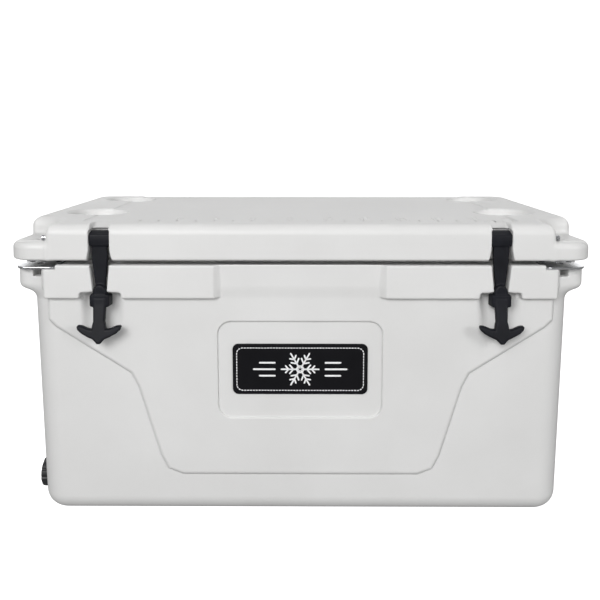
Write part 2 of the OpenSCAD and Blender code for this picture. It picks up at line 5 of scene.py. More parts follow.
import bmesh
import bpy
import numpy as np
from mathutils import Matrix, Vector

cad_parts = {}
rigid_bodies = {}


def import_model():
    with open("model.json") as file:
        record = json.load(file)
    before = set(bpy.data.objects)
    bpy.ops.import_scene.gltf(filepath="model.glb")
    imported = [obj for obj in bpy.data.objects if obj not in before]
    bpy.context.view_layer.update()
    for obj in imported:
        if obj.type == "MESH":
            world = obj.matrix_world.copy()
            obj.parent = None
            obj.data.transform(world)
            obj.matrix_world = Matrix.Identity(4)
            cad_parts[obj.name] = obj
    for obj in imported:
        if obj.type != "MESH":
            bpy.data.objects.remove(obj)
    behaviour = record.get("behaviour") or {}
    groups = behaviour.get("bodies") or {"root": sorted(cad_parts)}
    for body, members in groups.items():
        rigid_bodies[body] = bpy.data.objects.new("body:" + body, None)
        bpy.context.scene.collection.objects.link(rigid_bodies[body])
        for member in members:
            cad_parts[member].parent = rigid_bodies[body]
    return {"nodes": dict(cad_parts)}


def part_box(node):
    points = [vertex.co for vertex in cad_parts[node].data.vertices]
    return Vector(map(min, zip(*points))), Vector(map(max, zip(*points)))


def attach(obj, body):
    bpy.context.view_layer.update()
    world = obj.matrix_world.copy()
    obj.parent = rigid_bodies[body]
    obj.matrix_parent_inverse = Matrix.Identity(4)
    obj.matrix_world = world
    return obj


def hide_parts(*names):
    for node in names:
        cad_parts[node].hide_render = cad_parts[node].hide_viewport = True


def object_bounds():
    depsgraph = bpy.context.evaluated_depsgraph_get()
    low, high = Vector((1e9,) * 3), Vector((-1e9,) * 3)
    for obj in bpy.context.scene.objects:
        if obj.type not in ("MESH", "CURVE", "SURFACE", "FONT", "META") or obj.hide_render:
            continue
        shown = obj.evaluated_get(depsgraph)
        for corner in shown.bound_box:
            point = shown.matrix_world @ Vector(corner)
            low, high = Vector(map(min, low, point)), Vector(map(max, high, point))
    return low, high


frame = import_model()
CAD_BOX = [list(corner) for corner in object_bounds()]

# ---- sizes, in millimetres, read from the frame ----
MM = 0.001


def box_mm(node):
    """Lowest and highest corner of a CAD node, in millimetres."""
    low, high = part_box(node)
    return np.array(low) / MM, np.array(high) / MM


LID_LOW, LID_HIGH = box_mm("lid_shell")
BASE_LOW, BASE_HIGH = box_mm("base_shell")
PLATE_LOW, PLATE_HIGH = box_mm("lock_plate_right")
LATCH_LOW, LATCH_HIGH = box_mm("latch_right")
PIN_LOW, PIN_HIGH = box_mm("latch_pin_right")
HINGE_LOW, HINGE_HIGH = box_mm("hinge_pin_right")
CAP_LOW, CAP_HIGH = box_mm("drain_cap")
BADGE_LOW, BADGE_HIGH = box_mm("badge")
GASKET_LOW, GASKET_HIGH = box_mm("lid_gasket")
FOOT_LOW, FOOT_HIGH = box_mm("foot_front_right")
NUT_LOW, NUT_HIGH = box_mm("drain_nut")

HALF_L = LID_HIGH[0]
HALF_W = -LID_LOW[1]
TOP_Z = LID_HIGH[2]
BOTTOM_Z = BASE_LOW[2]
RIM_Z = GASKET_LOW[2] - 0.3
LID_Z = GASKET_HIGH[2] - 3
PLUG_Z = LID_LOW[2]
LEDGE_TOP = LID_Z + 24

BAND_OUT, BAND_H, BAND_GAP, BAND_END = 12, 45, 224, 47
END_X = HALF_L - 23
FACE_Y = HALF_W - BAND_OUT
EAR_X = BASE_HIGH[0]
EAR_Y = FACE_Y - 3
EAR_DROP = 36
BAND_X = HALF_L - BAND_END
BAND_Z = RIM_Z - BAND_H
DRAFT_L, DRAFT_W = 4, 10
CORNER_R, BOTTOM_R = 34, 26
WALL_T, FLOOR_T = 50, 46
CAV_X, CAV_Y = END_X - WALL_T, FACE_Y - WALL_T
FLOOR_Z = BOTTOM_Z + FLOOR_T
CAVITY_R = 30
PANEL_OUT = 5

LATCH_X = (LATCH_LOW[0] + LATCH_HIGH[0]) / 2
PIN_Y, PIN_Z = (PIN_LOW + PIN_HIGH)[1:] / 2
PIN_R = (PIN_HIGH[2] - PIN_LOW[2]) / 2
LOOP_R = LATCH_HIGH[2] - PIN_Z
SLOT_W = 27.2
TROUGH_IN, TROUGH_D, SEAL_LAND = 3.5, 3, 19
CROWN_R, LEDGE_R = 15, 9
SHELL_LIMIT = 195000
ROOF_Z = BAND_Z + 8
BAR_TOP = ROOF_Z - 2
BAR_W, BAR_H = 28.5, 16
HINGE_Y, HINGE_Z = (HINGE_LOW + HINGE_HIGH)[1:] / 2
HINGE_X = 210
HINGE_R = LID_HIGH[1] - HINGE_Y
KNUCKLE_L, BASE_KNUCKLE_L, KNUCKLE_GAP = 70, 30, 0.6

RECESS_W, RECESS_H, RECESS_R, RECESS_D = 220, 133, 18, 3
RECESS_Z = (BADGE_LOW[2] + BADGE_HIGH[2]) / 2 - 1
NOTCH_X, NOTCH_Y, NOTCH_R = HALF_L - 51, 88, 46
CUP_R, CUP_H, CUP_RIM = 43, 13, 5.5
CUP_X = HALF_L - 79
CUP_FRONT, CUP_BACK = -HALF_W + 154, HALF_W - 62
TRAY_D, TRAY_X, TRAY_Y = 1.0, CUP_X - 12, -HALF_W + 143
STRIP_D, STRIP_Y = 1.1, -HALF_W + 35

DRAIN_Y, DRAIN_Z = (CAP_LOW + CAP_HIGH)[1:] / 2
CAP_SEAT_R, NUT_SEAT_R, DRAIN_BORE_R = 23, 19, 13
DRAIN_X = END_X - DRAFT_L
LOCK_X, LOCK_Y, LOCK_R = HALF_L - 36, -HALF_W + 33, 5.5
GRIP_W, GRIP_H, GRIP_D, GRIP_Z = 190, 46, 24, RIM_Z - 98
SLOPE = math.atan(DRAFT_W / (RIM_Z - BOTTOM_Z))

SCREW_X = [(PLATE_LOW[0] + PLATE_HIGH[0]) / 2 + dx for dx in (-19, 17)]
SCREW_Y = LOCK_Y + 12
BADGE_W, BADGE_H = 181, 70
BADGE_UP = (RECESS_Z + 1 - RIM_Z) / math.cos(SLOPE)
BADGE_OUT = PANEL_OUT - RECESS_D + 2
CAP_R, CAP_T = (CAP_HIGH[2] - CAP_LOW[2]) / 2, CAP_HIGH[0] - CAP_LOW[0]
NUT_R = (NUT_HIGH[2] - NUT_LOW[2]) / 2
INCH = 25.4


# ---- shapes as distance fields: negative inside, in millimetres ----
def meet(a, b, r=0.0):
    """Both shapes at once, with their shared edge rounded to r."""
    if r <= 0:
        return np.maximum(a, b)
    return np.minimum(np.maximum(a, b), -r) + np.hypot(np.maximum(a + r, 0), np.maximum(b + r, 0))


def join(a, b, r=0.0):
    """Either shape, with a fillet of radius r between them."""
    if r <= 0:
        return np.minimum(a, b)
    return np.maximum(np.minimum(a, b), r) - np.hypot(np.maximum(r - a, 0), np.maximum(r - b, 0))


def cut(a, b, r=0.0):
    """Shape a without shape b, with the cut's edge rounded to r."""
    return meet(a, -b, r)


def rect(u, v, half_u, half_v, r=0.0):
    """A rounded rectangle round the origin."""
    qu, qv = np.abs(u) - half_u + r, np.abs(v) - half_v + r
    return np.hypot(np.maximum(qu, 0), np.maximum(qv, 0)) + np.minimum(np.maximum(qu, qv), 0) - r


def between(u, low, high):
    """The slab from low to high."""
    return np.maximum(low - u, u - high)


def outline(u, v, points, r=0.0):
    """A polygon grown by r, which rounds its corners."""
    u, v = np.broadcast_arrays(u, v)
    nearest = np.full(u.shape, np.inf)
    inside = np.zeros(u.shape, bool)
    for (u0, v0), (u1, v1) in zip(points, points[1:] + points[:1]):
        eu, ev = u1 - u0, v1 - v0
        along = np.clip(((u - u0) * eu + (v - v0) * ev) / (eu * eu + ev * ev), 0, 1)
        nearest = np.minimum(nearest, np.hypot(u - u0 - along * eu, v - v0 - along * ev))
        crosses = (v0 > v) != (v1 > v)
        if ev:
            inside ^= crosses & (u < u0 + (v - v0) * eu / ev)
    return np.where(inside, -nearest, nearest) - r


def wall_at(z):
    """Half sizes of the drafted body at height z."""
    fall = 1 - np.clip((z - BOTTOM_Z) / (RIM_Z - BOTTOM_Z), 0, 1)
    return END_X - DRAFT_L * fall, FACE_Y - DRAFT_W * fall


def off_pin(y, z):
    """Distance from the line of the latch pins."""
    return np.hypot(y - PIN_Y, z - PIN_Z)


def off_hinge(y, z):
    """Distance from the line of the hinge pins."""
    return np.hypot(y - HINGE_Y, z - HINGE_Z)


def base_bands(ax, ay, z):
    inner, ramp = BAND_GAP / 2, BAND_OUT - 1
    plan = outline(ax, ay, [
        (inner - ramp + 4, FACE_Y - 30), (inner - ramp + 3, FACE_Y - 3), (inner + 3, HALF_W - 4),
        (BAND_X - 4, HALF_W - 4), (BAND_X - 4, FACE_Y - 30)], 4)
    return meet(plan, between(z, BAND_Z, RIM_Z), 2.6)


def front_panel(ax, ay, z, wall_y):
    low, mid = BOTTOM_Z + 59, RECESS_Z - 23
    shape = outline(ax, z, [
        (-20, RIM_Z + 20), (BAND_X - 6, RIM_Z + 20), (BAND_X - 6, RIM_Z - 74), (BAND_X - 15, RIM_Z - 83),
        (224, RIM_Z - 147), (214, mid), (186, BOTTOM_Z + 88), (177, BOTTOM_Z + 70), (159, low + 4),
        (-20, low + 4)], 4)
    face = ay - wall_y - PANEL_OUT
    return meet(meet(meet(shape, face, 1), (shape + face + 3.4) * 0.7, 1.5), 120 - ay)


def base_knuckles(ax, y, z):
    reach = KNUCKLE_L / 2 + KNUCKLE_GAP
    along = np.abs(ax - HINGE_X)
    span = between(along, reach, reach + BASE_KNUCKLE_L)
    barrel = off_hinge(y, z) - HINGE_R
    web = outline(y, z, [
        (HALF_W - 10, RIM_Z - 3), (HALF_W - 10, RIM_Z - 34), (HALF_W - 2, RIM_Z - 34),
        (HINGE_Y + HINGE_R - 1, HINGE_Z - 4), (HINGE_Y, HINGE_Z)])
    return meet(np.minimum(barrel, web), span, 1.2)


def latch_cuts(side, y, z):
    """What the latch needs cut from the body: V slot, notch and pocket."""
    front = y + HALF_W
    vee = outline(side, z, [
        (-1, RIM_Z + 9), (12.8, RIM_Z + 9), (12.8, RIM_Z), (8.7, ROOF_Z - 2), (-1, ROOF_Z - 2)])
    vee = meet(vee, front - BAND_OUT - 7, 2)
    notch = outline(side, z, [(-1, BAND_Z - 6), (24, BAND_Z - 6), (24, ROOF_Z - 3), (-1, ROOF_Z - 3)], 3)
    notch = meet(meet(notch, front - BAND_OUT - 1, 2), BAND_Z - 1 - z)
    pocket = meet(rect(side, z - (ROOF_Z - 10), 16, 11, 4), front - BAND_OUT - 6, 3)
    return np.minimum(np.minimum(vee, notch), pocket)


def latch_channel(side, y, z):
    """Scoop behind the pull that runs out into the wall below."""
    front = y + HALF_W
    floor = (front - BAND_OUT - 8 + (ROOF_Z - 14 - z) * 0.25) * 0.97
    return meet(meet(side - 24, floor, 12), z - ROOF_Z + 3, 3)


def base_field(x, y, z):
    ax, ay = np.abs(x), np.abs(y)
    wall_x, wall_y = wall_at(z)
    body = rect(x, y, wall_x, wall_y, CORNER_R)
    body = meet(body, BOTTOM_Z - z, BOTTOM_R)
    body = join(body, front_panel(ax, ay, z, wall_y), 1.2)
    body = join(body, base_bands(ax, ay, z), 1.5)
    flange = meet(rect(x, y, EAR_X, EAR_Y, 18), RIM_Z - EAR_DROP - z, 9)
    body = join(body, flange, 16)
    inner = rect(x, y, CAV_X + SEAL_LAND, CAV_Y + SEAL_LAND, CAVITY_R + SEAL_LAND)
    trough = meet(meet(meet(body + TROUGH_IN, -inner), y - CAV_Y + 20), RIM_Z - TROUGH_D - z)
    body = cut(meet(body, z - RIM_Z, 1.8), trough, 1.5)
    body = join(body, base_knuckles(ax, y, z), 3)
    # Cavity, sump and drain
    fall = 1 - np.clip((z - FLOOR_Z) / (RIM_Z - FLOOR_Z), 0, 1)
    cavity = meet(rect(x, y, CAV_X - 6 * fall, CAV_Y - 5 * fall, CAVITY_R), FLOOR_Z - z, CAVITY_R)
    sump = meet(rect(x + CAV_X - 39, y - DRAIN_Y, 31, 23, 6), between(z, DRAIN_Z - 11.5, FLOOR_Z + 12), 5)
    body = cut(body, join(cavity, sump, 4), 4)
    bore = np.hypot(y - DRAIN_Y, z - DRAIN_Z)
    body = cut(body, meet(bore - DRAIN_BORE_R, x + CAV_X - 20), 1)
    body = cut(body, meet(bore - CAP_SEAT_R, x + DRAIN_X - 2), 1)
    body = cut(body, meet(bore - NUT_SEAT_R, between(x, -CAV_X - 2, -CAV_X + 8)), 1)
    # Hand grips, latches, label recess and corner seats
    body = cut(body, meet(rect(y, z - GRIP_Z, GRIP_W / 2, GRIP_H / 2, 16), END_X - GRIP_D - ax, 5), 5)
    side = np.abs(ax - LATCH_X)
    body = cut(body, latch_channel(side, y, z), 7)
    body = cut(body, latch_cuts(side, y, z), 1.6)
    label = rect(x, z - RECESS_Z, RECESS_W / 2, RECESS_H / 2, RECESS_R)
    body = cut(body, meet(label, y + wall_y + PANEL_OUT - RECESS_D, 1), 1.2)
    seat = meet(rect(ax - HALF_L, y + HALF_W, HALF_L - PLATE_LOW[0] + 0.8, PLATE_HIGH[1] + HALF_W + 0.8, 5),
                PLATE_LOW[2] - z)
    body = cut(body, seat, 1)
    padlock = np.hypot(ax - LOCK_X, y - LOCK_Y) - LOCK_R
    body = cut(body, meet(padlock, PLATE_LOW[2] - 30 - z), 0.8)
    pocket = meet(between(ax, LOCK_X - 6, LOCK_X + 6), meet(between(z, PLATE_LOW[2] - 11, PLATE_LOW[2] - 1),
                                                              y - LOCK_Y))
    body = cut(body, pocket, 1)
    # Room for the lid's hinge knuckles and pins
    reach = KNUCKLE_L / 2 + KNUCKLE_GAP
    hinge = off_hinge(y, z)
    body = cut(body, meet(hinge - HINGE_R - 1.5, np.abs(ax - HINGE_X) - reach), 1)
    body = cut(body, meet(hinge - 4.1, np.abs(ax - HINGE_X) - 64))
    # Seats of the feet and the fill plug
    foot = rect(ax - (FOOT_LOW[0] + FOOT_HIGH[0]) / 2, ay + (FOOT_LOW[1] + FOOT_HIGH[1]) / 2, 30.5, 18.5, 8)
    body = cut(body, meet(foot, z - FOOT_HIGH[2]), 0.8)
    return cut(body, meet(np.hypot(x, y) - 15, z - BOTTOM_Z - 20), 0.8)


def lid_plan(ax, y):
    """Raised part of the lid from above, with a curved notch at each front corner."""
    plan = rect(ax, y, HALF_L - 1, HALF_W, 30)
    notch = meet(NOTCH_X - ax, y + HALF_W - NOTCH_Y, NOTCH_R)
    return cut(plan, notch, 7)


def lid_field(x, y, z):
    ax = np.abs(x)
    side = np.abs(ax - LATCH_X)
    front = y + HALF_W
    inset = np.clip(np.maximum(NOTCH_X - ax, front - NOTCH_Y) * 0.5, 0, 6)
    ledge = meet(meet(rect(x, y, HALF_L - inset, HALF_W - inset, 32), z - LEDGE_TOP, LEDGE_R), LID_Z - z, 3)
    raised = meet(lid_plan(ax, y), z - TOP_Z, CROWN_R)
    lid = join(ledge, meet(raised, LID_Z - z, 3), 5)
    plug = meet(rect(x, y, CAV_X - 4, CAV_Y - 4, CAVITY_R - 4), PLUG_Z - z, 7)
    lid = join(lid, meet(plug, z - LID_Z - 4), 2)
    # Knuckles at the back
    hinge = off_hinge(y, z)
    web = outline(y, z, [
        (HALF_W - 12, LID_Z + 4), (HINGE_Y, HINGE_Z), (HINGE_Y + HINGE_R - 0.5, HINGE_Z),
        (HINGE_Y + HINGE_R - 0.5, HINGE_Z + 4), (HALF_W, LID_Z + 30), (HALF_W - 12, LID_Z + 30)])
    knuckle = meet(np.minimum(hinge - HINGE_R, web), np.abs(ax - HINGE_X) - KNUCKLE_L / 2, 1.2)
    lid = join(lid, knuckle, 3)
    lid = cut(lid, meet(hinge - HINGE_R - 1.5, between(np.abs(ax - HINGE_X), KNUCKLE_L / 2, KNUCKLE_L / 2 + 32)), 1)
    lid = cut(lid, meet(hinge - 5.5, np.abs(ax - HINGE_X) - 66))
    # Cup holders and the sunken middle
    for cup_y in (CUP_FRONT, CUP_BACK):
        cup = meet(np.hypot(ax - CUP_X, y - cup_y) - CUP_R, TOP_Z - CUP_H - z, 5)
        lid = cut(lid, cup, CUP_RIM)
    tray = meet(meet(ax - TRAY_X, TRAY_Y - y, 14), TOP_Z - TRAY_D - z)
    lid = cut(lid, tray, 2.4)
    strip = meet(meet(ax - TRAY_X, STRIP_Y - y, 8), TOP_Z - STRIP_D - z)
    lid = cut(lid, strip, 0.7)
    # Latch slots, their scoops and the pin bores
    slot = meet(side - SLOT_W / 2 - np.clip(LID_Z + 14 - z, 0, 14) * 0.2, front - 24.5, 2)
    slot = meet(slot, z - PIN_Z - 12.5, 3)
    loop = meet(off_pin(y, z) - LOOP_R - 1.2, side - SLOT_W / 2)
    scoop_w = 12.0 + np.clip(z - PIN_Z - 11, 0, 12) * 0.12
    scoop = meet(side - scoop_w, outline(y, z, [
        (-HALF_W - 4, PIN_Z + 11.8), (PIN_Y + 2, PIN_Z + 11.8), (PIN_Y + 29, TOP_Z + 0.6),
        (PIN_Y + 29, TOP_Z + 4), (-HALF_W - 4, TOP_Z + 4)]), 2)
    lid = cut(lid, np.minimum(np.minimum(slot, loop), scoop), 1.8)
    bore = meet(off_pin(y, z) - PIN_R - 0.3, LATCH_X - 20 - ax)
    rebate = meet(off_pin(y, z) - PIN_R - 3.2, NOTCH_X - 5 - ax)
    lid = cut(lid, np.minimum(bore, rebate), 0.8)
    # Gasket groove and padlock holes
    ring = np.abs(rect(x, y, CAV_X + 9, CAV_Y + 9, CAVITY_R + 9)) - 5.15
    lid = cut(lid, meet(ring, z - LID_Z - 3.15), 0.5)
    return cut(lid, np.hypot(ax - LOCK_X, y - LOCK_Y) - LOCK_R, 2)


def latch_field(x, y, z):
    """A rubber latch: loop on its pin, tapered strap, cross bar and an anchor-shaped pull."""
    side = np.abs(x)
    front = y + HALF_W
    loop = meet(off_pin(y, z) - LOOP_R + 0.9, side - 13, 1.5)
    block = meet(meet(side - 13, between(front, 2.0, 15), 1.5), between(z, PIN_Z - 9, PIN_Z + 6), 1.5)
    strap_w = 10.2 - np.clip(LID_Z - z, 0, 36) / 36 * 4.0
    strap = meet(meet(side - strap_w, between(front, 3.3, 10.5), 1.6), between(z, BAR_TOP - 2, PIN_Z))
    latch = join(join(loop, block, 5), strap, 1.5)
    nose = meet(np.hypot(side, (z - BAR_TOP - 2) * 0.8) - 8.9, between(front, -1.5, 10), 2.5)
    bar_w = BAR_W / 2 - 0.1 - np.clip(10 - front, 0, 14) * 0.11
    bar = meet(meet(side - bar_w, between(z, BAR_TOP - BAR_H, BAR_TOP), 2.6), between(front, -3, 11), 1.5)
    latch = join(join(latch, nose, 1.6), bar, 1.2)
    # The pull leans forward as it goes down
    drop = BAR_TOP - BAR_H - z
    lean = -3 - np.clip(drop, -20, 60) * 0.19
    thick = between(front, lean - 2, lean + 7)
    tip_z = LATCH_LOW[2]
    stem = meet(side - 8.3 + np.clip(drop, 0, 26) * 0.04, between(z, tip_z + 12, BAR_TOP - 4))
    anchor = outline(side, z, [
        (-1, tip_z + 2.2), (1.4, tip_z + 2.2), (6.4, tip_z + 7.6), (13.0, tip_z + 10.4), (21.4, tip_z + 14.8),
        (26.2, tip_z + 19.0), (27.0, tip_z + 21.4), (23.0, tip_z + 21.0), (15, tip_z + 17.6), (8, tip_z + 16.6),
        (6, tip_z + 24), (-1, tip_z + 24)], 2.1)
    pull = meet(join(stem, anchor, 3), thick, 2.8)
    latch = join(latch, pull, 1.6)
    return cut(latch, off_pin(y, z) - PIN_R - 0.05, 0.5)


def plate_field(x, y, z):
    """Corner plate: rounded steel sheet with an oval padlock hole and two countersunk holes."""
    ax = np.abs(x)
    middle = (PLATE_LOW + PLATE_HIGH) / 2
    half = (PLATE_HIGH - PLATE_LOW) / 2
    sheet = rect(ax - middle[0], y - middle[1], half[0], half[1], 8)
    sheet = meet(sheet, rect(ax, y, EAR_X - 1, HALF_W, 26))
    sheet = meet(sheet, between(z, PLATE_LOW[2], PLATE_HIGH[2]), 0.8)
    hole = rect(ax - LOCK_X, y - LOCK_Y, LOCK_R, LOCK_R + 2, LOCK_R)
    sheet = cut(sheet, hole, 0.8)
    for screw_x in SCREW_X:
        screw = np.hypot(ax - screw_x, y - SCREW_Y)
        sheet = cut(sheet, np.minimum(screw - 2.1, (screw - 4.3 + (PLATE_HIGH[2] - z)) * 0.7), 0.3)
    return sheet


def badge_place(points):
    """Label points (right, up, out), put on the sloping front wall."""
    right, up, out = points.T
    sine, cosine = math.sin(SLOPE), math.cos(SLOPE)
    return np.stack([right, -FACE_Y - up * sine - out * cosine, RIM_Z + up * cosine - out * sine], 1)


def badge_field(x, y, z):
    back, rise = y + FACE_Y, z - RIM_Z
    up = rise * math.cos(SLOPE) - back * math.sin(SLOPE)
    out = -back * math.cos(SLOPE) - rise * math.sin(SLOPE)
    face = rect(x, up - BADGE_UP, BADGE_W / 2, BADGE_H / 2, 8)
    return meet(face, between(out, BADGE_OUT - 2, BADGE_OUT), 0.7)


def cap_field(x, y, z):
    """Drain cap: scalloped rim, dished face with a grip bar, hollow behind."""
    up, side = z - DRAIN_Z, y - DRAIN_Y
    far = np.hypot(side, up)
    turn = np.arctan2(up, side)
    step = math.pi / 6
    near = (turn + step / 2) % step - step / 2
    scallop = np.hypot(far * np.cos(near) - CAP_R - 0.6, far * np.sin(near)) - 2
    out = CAP_HIGH[0] - x
    cap = meet(far - CAP_R, between(out, 0, CAP_T), 1.8)
    cap = cut(cap, scallop, 0.8)
    dish = meet(far - CAP_R + 6, CAP_T - 3.5 - out, 1.5)
    bar = meet(rect(side, up, 3.4, CAP_R - 5, 3), out - CAP_T + 0.4, 1.2)
    cap = join(cut(cap, dish, 1), meet(bar, CAP_T - 6 - out), 1.2)
    return cut(cap, meet(far - 13, out - 8), 0.6)


def nut_field(x, y, z):
    """Hexagonal nut with chamfered corners."""
    up, side = z - DRAIN_Z, y - DRAIN_Y
    far = np.hypot(side, up)
    turn = (np.arctan2(up, side) - math.pi / 6) % (math.pi / 3) - math.pi / 6
    flats = far * np.cos(turn) - NUT_R * math.cos(math.pi / 6)
    low, high = NUT_LOW[0], NUT_HIGH[0]
    bevel = (far - NUT_R + 0.6 + np.maximum(x - high + 1.4, low + 1.4 - x)) * 0.7
    nut = meet(meet(flats, between(x, low, high), 0.4), bevel, 0.3)
    return cut(nut, far - 12.8, 0.8)


def screw_field(x, y, z):
    """Countersunk screw pointing down, its head's top at zero, with a hexagonal socket."""
    far, turn = np.hypot(x, y), np.arctan2(y, x)
    head = meet((far - 3.9 - z) * 0.7, far - 3.9 + np.maximum(z, 0))
    ridge = np.abs((z / 1.2 - turn / (2 * math.pi)) % 1 * 2 - 1)
    shank = meet(far - 1.6 - 0.35 * ridge, (far + z * -0.6 - 8.4) * 0.8)
    screw = meet(np.minimum(head, meet(shank, -14 - z)), z, 0.3)
    socket = far * np.cos(turn % (math.pi / 3) - math.pi / 6) - 1.4
    return cut(screw, meet(socket, -1.5 - z), 0.15)


def foot_field(x, y, z):
    """Rubber foot: soft edges, three grip grooves and a countersunk hole."""
    centre = (FOOT_LOW + FOOT_HIGH) / 2
    half = (FOOT_HIGH - FOOT_LOW) / 2
    u, v = np.abs(x) - centre[0], np.abs(y) + centre[1]
    foot = meet(rect(u, v, half[0], half[1], 8), between(z, FOOT_LOW[2], FOOT_HIGH[2]), 1.2)
    for groove in (-22, -15, 15, 22):
        foot = cut(foot, meet(between(u, groove - 1.2, groove + 1.2), z - 1.2), 0.5)
    hole = np.hypot(u, v)
    foot = cut(foot, hole - 2.2, 0.2)
    return cut(foot, (hole - 4.4 + np.maximum(z - 1, 0)) * 0.75, 0.3)


# ---- surfaces from fields ----
BLOCK = 8
BOX_LOW, BOX_HIGH = (np.array(corner) / MM for corner in CAD_BOX)


def gradient(field, points, step=0.05):
    """Unit normals of a field at points."""
    normal = np.stack([field(*(points + shift).T) - field(*(points - shift).T) for shift in np.eye(3) * step], 1)
    return normal / np.maximum(np.linalg.norm(normal, axis=1, keepdims=True), 1e-9)


def settle(field, points, reach, passes=3):
    """Points moved onto the surface of a field, by no more than reach in all."""
    start = points.copy()
    for _ in range(passes):
        points = points - gradient(field, points) * np.clip(field(*points.T), -reach, reach)[:, None]
    moved = points - start
    far = np.maximum(np.linalg.norm(moved, axis=1, keepdims=True) / reach, 1)
    return start + moved / far


def sampled(field, axes, cell):
    """Field values on a grid, worked out only in the blocks that the surface may cross."""
    blocks = [axis.reshape(-1, BLOCK) for axis in axes]
    x, y, z = (block.mean(1) for block in blocks)
    rough = field(x[:, None, None], y[None, :, None], z[None, None, :])
    shape = [n for block in blocks for n in (len(block), BLOCK)]
    values = np.ones(shape, np.float32) * np.sign(rough)[:, None, :, None, :, None].astype(np.float32)
    near = np.argwhere(np.abs(rough) < BLOCK * cell)
    for part in np.array_split(near, len(near) // 2000 + 1):
        i, j, k = part.T
        values[i, :, j, :, k, :] = field(
            blocks[0][i][:, :, None, None], blocks[1][j][:, None, :, None], blocks[2][k][:, None, None, :])
    return values.reshape([len(axis) for axis in axes])


def surface_net(field, low, high, cell):
    """Vertices and quads of a field's surface, one vertex in each cell that it crosses."""
    counts = [math.ceil(((b - a) / cell + 3) / BLOCK) * BLOCK for a, b in zip(low, high)]
    axes = [a - cell + np.arange(n) * cell for a, n in zip(low, counts)]
    values = sampled(field, axes, cell)
    solid = values < 0
    cells = tuple(n - 1 for n in values.shape)
    total, count = np.zeros(cells + (3,), np.float32), np.zeros(cells, np.uint8)
    crossings = []
    for axis in range(3):
        first, second = [slice(None)] * 3, [slice(None)] * 3
        first[axis], second[axis] = slice(0, -1), slice(1, None)
        first, second = tuple(first), tuple(second)
        edge = np.argwhere(solid[first] != solid[second])
        a, b = (values[half][tuple(edge.T)] for half in (first, second))
        place = edge.astype(np.float32)
        place[:, axis] += a / (a - b)
        crossings.append((edge, a < 0))
        others = [i for i in range(3) if i != axis]
        for steps in ((0, 0), (0, 1), (1, 0), (1, 1)):
            at = edge.copy()
            at[:, others] -= steps
            good = np.all((at >= 0) & (at < cells), axis=1)
            np.add.at(total, tuple(at[good].T), place[good])
            np.add.at(count, tuple(at[good].T), 1)
    index = np.full(cells, -1, np.int64)
    used = np.argwhere(count > 0)
    index[tuple(used.T)] = np.arange(len(used))
    points = total[tuple(used.T)] / count[tuple(used.T)][:, None] * cell + [a[0] for a in axes]
    quads = []
    for axis, (edge, forward) in enumerate(crossings):
        around = [(axis + 1) % 3, (axis + 2) % 3]
        ring = []
        for steps in ((0, 0), (1, 0), (1, 1), (0, 1)):
            at = edge.copy()
            at[:, around] -= steps
            ring.append(index[tuple(at.T)])
        ring = np.stack(ring, 1)
        ring[~forward] = ring[~forward][:, ::-1]
        quads.append(ring)
    return points, np.concatenate(quads)


def mesh_object(name, points, faces):
    """A smooth mesh object from points in millimetres."""
    mesh = bpy.data.meshes.new(name)
    mesh.from_pydata((np.asarray(points) * MM).tolist(), [], faces if isinstance(faces, list) else faces.tolist())
    mesh.validate()
    mesh.shade_smooth()
    piece = bpy.data.objects.new(name, mesh)
    bpy.context.scene.collection.objects.link(piece)
    return piece


def evaluated(piece):
    """Replaces a piece's mesh by its modified mesh, and clears the modifiers."""
    graph = bpy.context.evaluated_depsgraph_get()
    mesh = bpy.data.meshes.new_from_object(piece.evaluated_get(graph))
    piece.modifiers.clear()
    piece.data = mesh
    return piece


def moulded(name, field, low, high, cell, triangles):
    """A moulded piece from a field, thinned to a number of triangles and shaded by the field."""
    points, quads = surface_net(field, low, high, cell)
    points = settle(field, points.astype(float), cell * 0.9)
    piece = mesh_object(name, points, quads)
    thin = piece.modifiers.new("thin", "DECIMATE")
    thin.ratio = min(1.0, triangles / (2 * len(quads)))
    evaluated(piece)
    mesh = piece.data
    coords = np.empty(len(mesh.vertices) * 3)
    mesh.vertices.foreach_get("co", coords)
    points = settle(field, coords.reshape(-1, 3) / MM, 0.4, 2)
    points = np.clip(points, BOX_LOW, BOX_HIGH)
    mesh.vertices.foreach_set("co", (points * MM).ravel())
    mesh.update()
    mesh.shade_smooth()
    mesh.normals_split_custom_set_from_vertices(gradient(field, points, 0.3).tolist())
    return piece


def creased(piece, angle=32.0):
    """Outward faces, smooth shading and sharp edges above an angle in degrees."""
    shape = bmesh.new()
    shape.from_mesh(piece.data)
    bmesh.ops.remove_doubles(shape, verts=shape.verts, dist=0.002 * MM)
    bmesh.ops.recalc_face_normals(shape, faces=shape.faces)
    shape.to_mesh(piece.data)
    shape.free()
    piece.data.shade_smooth()
    piece.data.set_sharp_from_angle(angle=math.radians(angle))
    return piece


def turned(name, profile, centre, axis="x", segments=56):
    """A piece turned about an axis: profile points are (along, radius), from end to end or back to the first."""
    steps = np.linspace(0, 2 * math.pi, segments, endpoint=False)
    points, faces = [], []
    for along, radius in profile:
        for a in steps:
            u, v = radius * math.cos(a), radius * math.sin(a)
            points.append((along, u, v) if axis == "x" else (u, v, along))
    rows = len(profile)
    for i in range(rows - 1):
        for j in range(segments):
            a, b = i * segments, (i + 1) * segments
            k = (j + 1) % segments
            faces.append((a + j, a + k, b + k, b + j))
    return creased(mesh_object(name, np.array(points) + np.array(centre), faces))


def tube(start, low, high, inner, outer):
    """Profile of a tube from low to high, which starts and ends inside it."""
    return [(start, inner), (low, inner), (low, outer), (high, outer), (high, inner), (start, inner)]


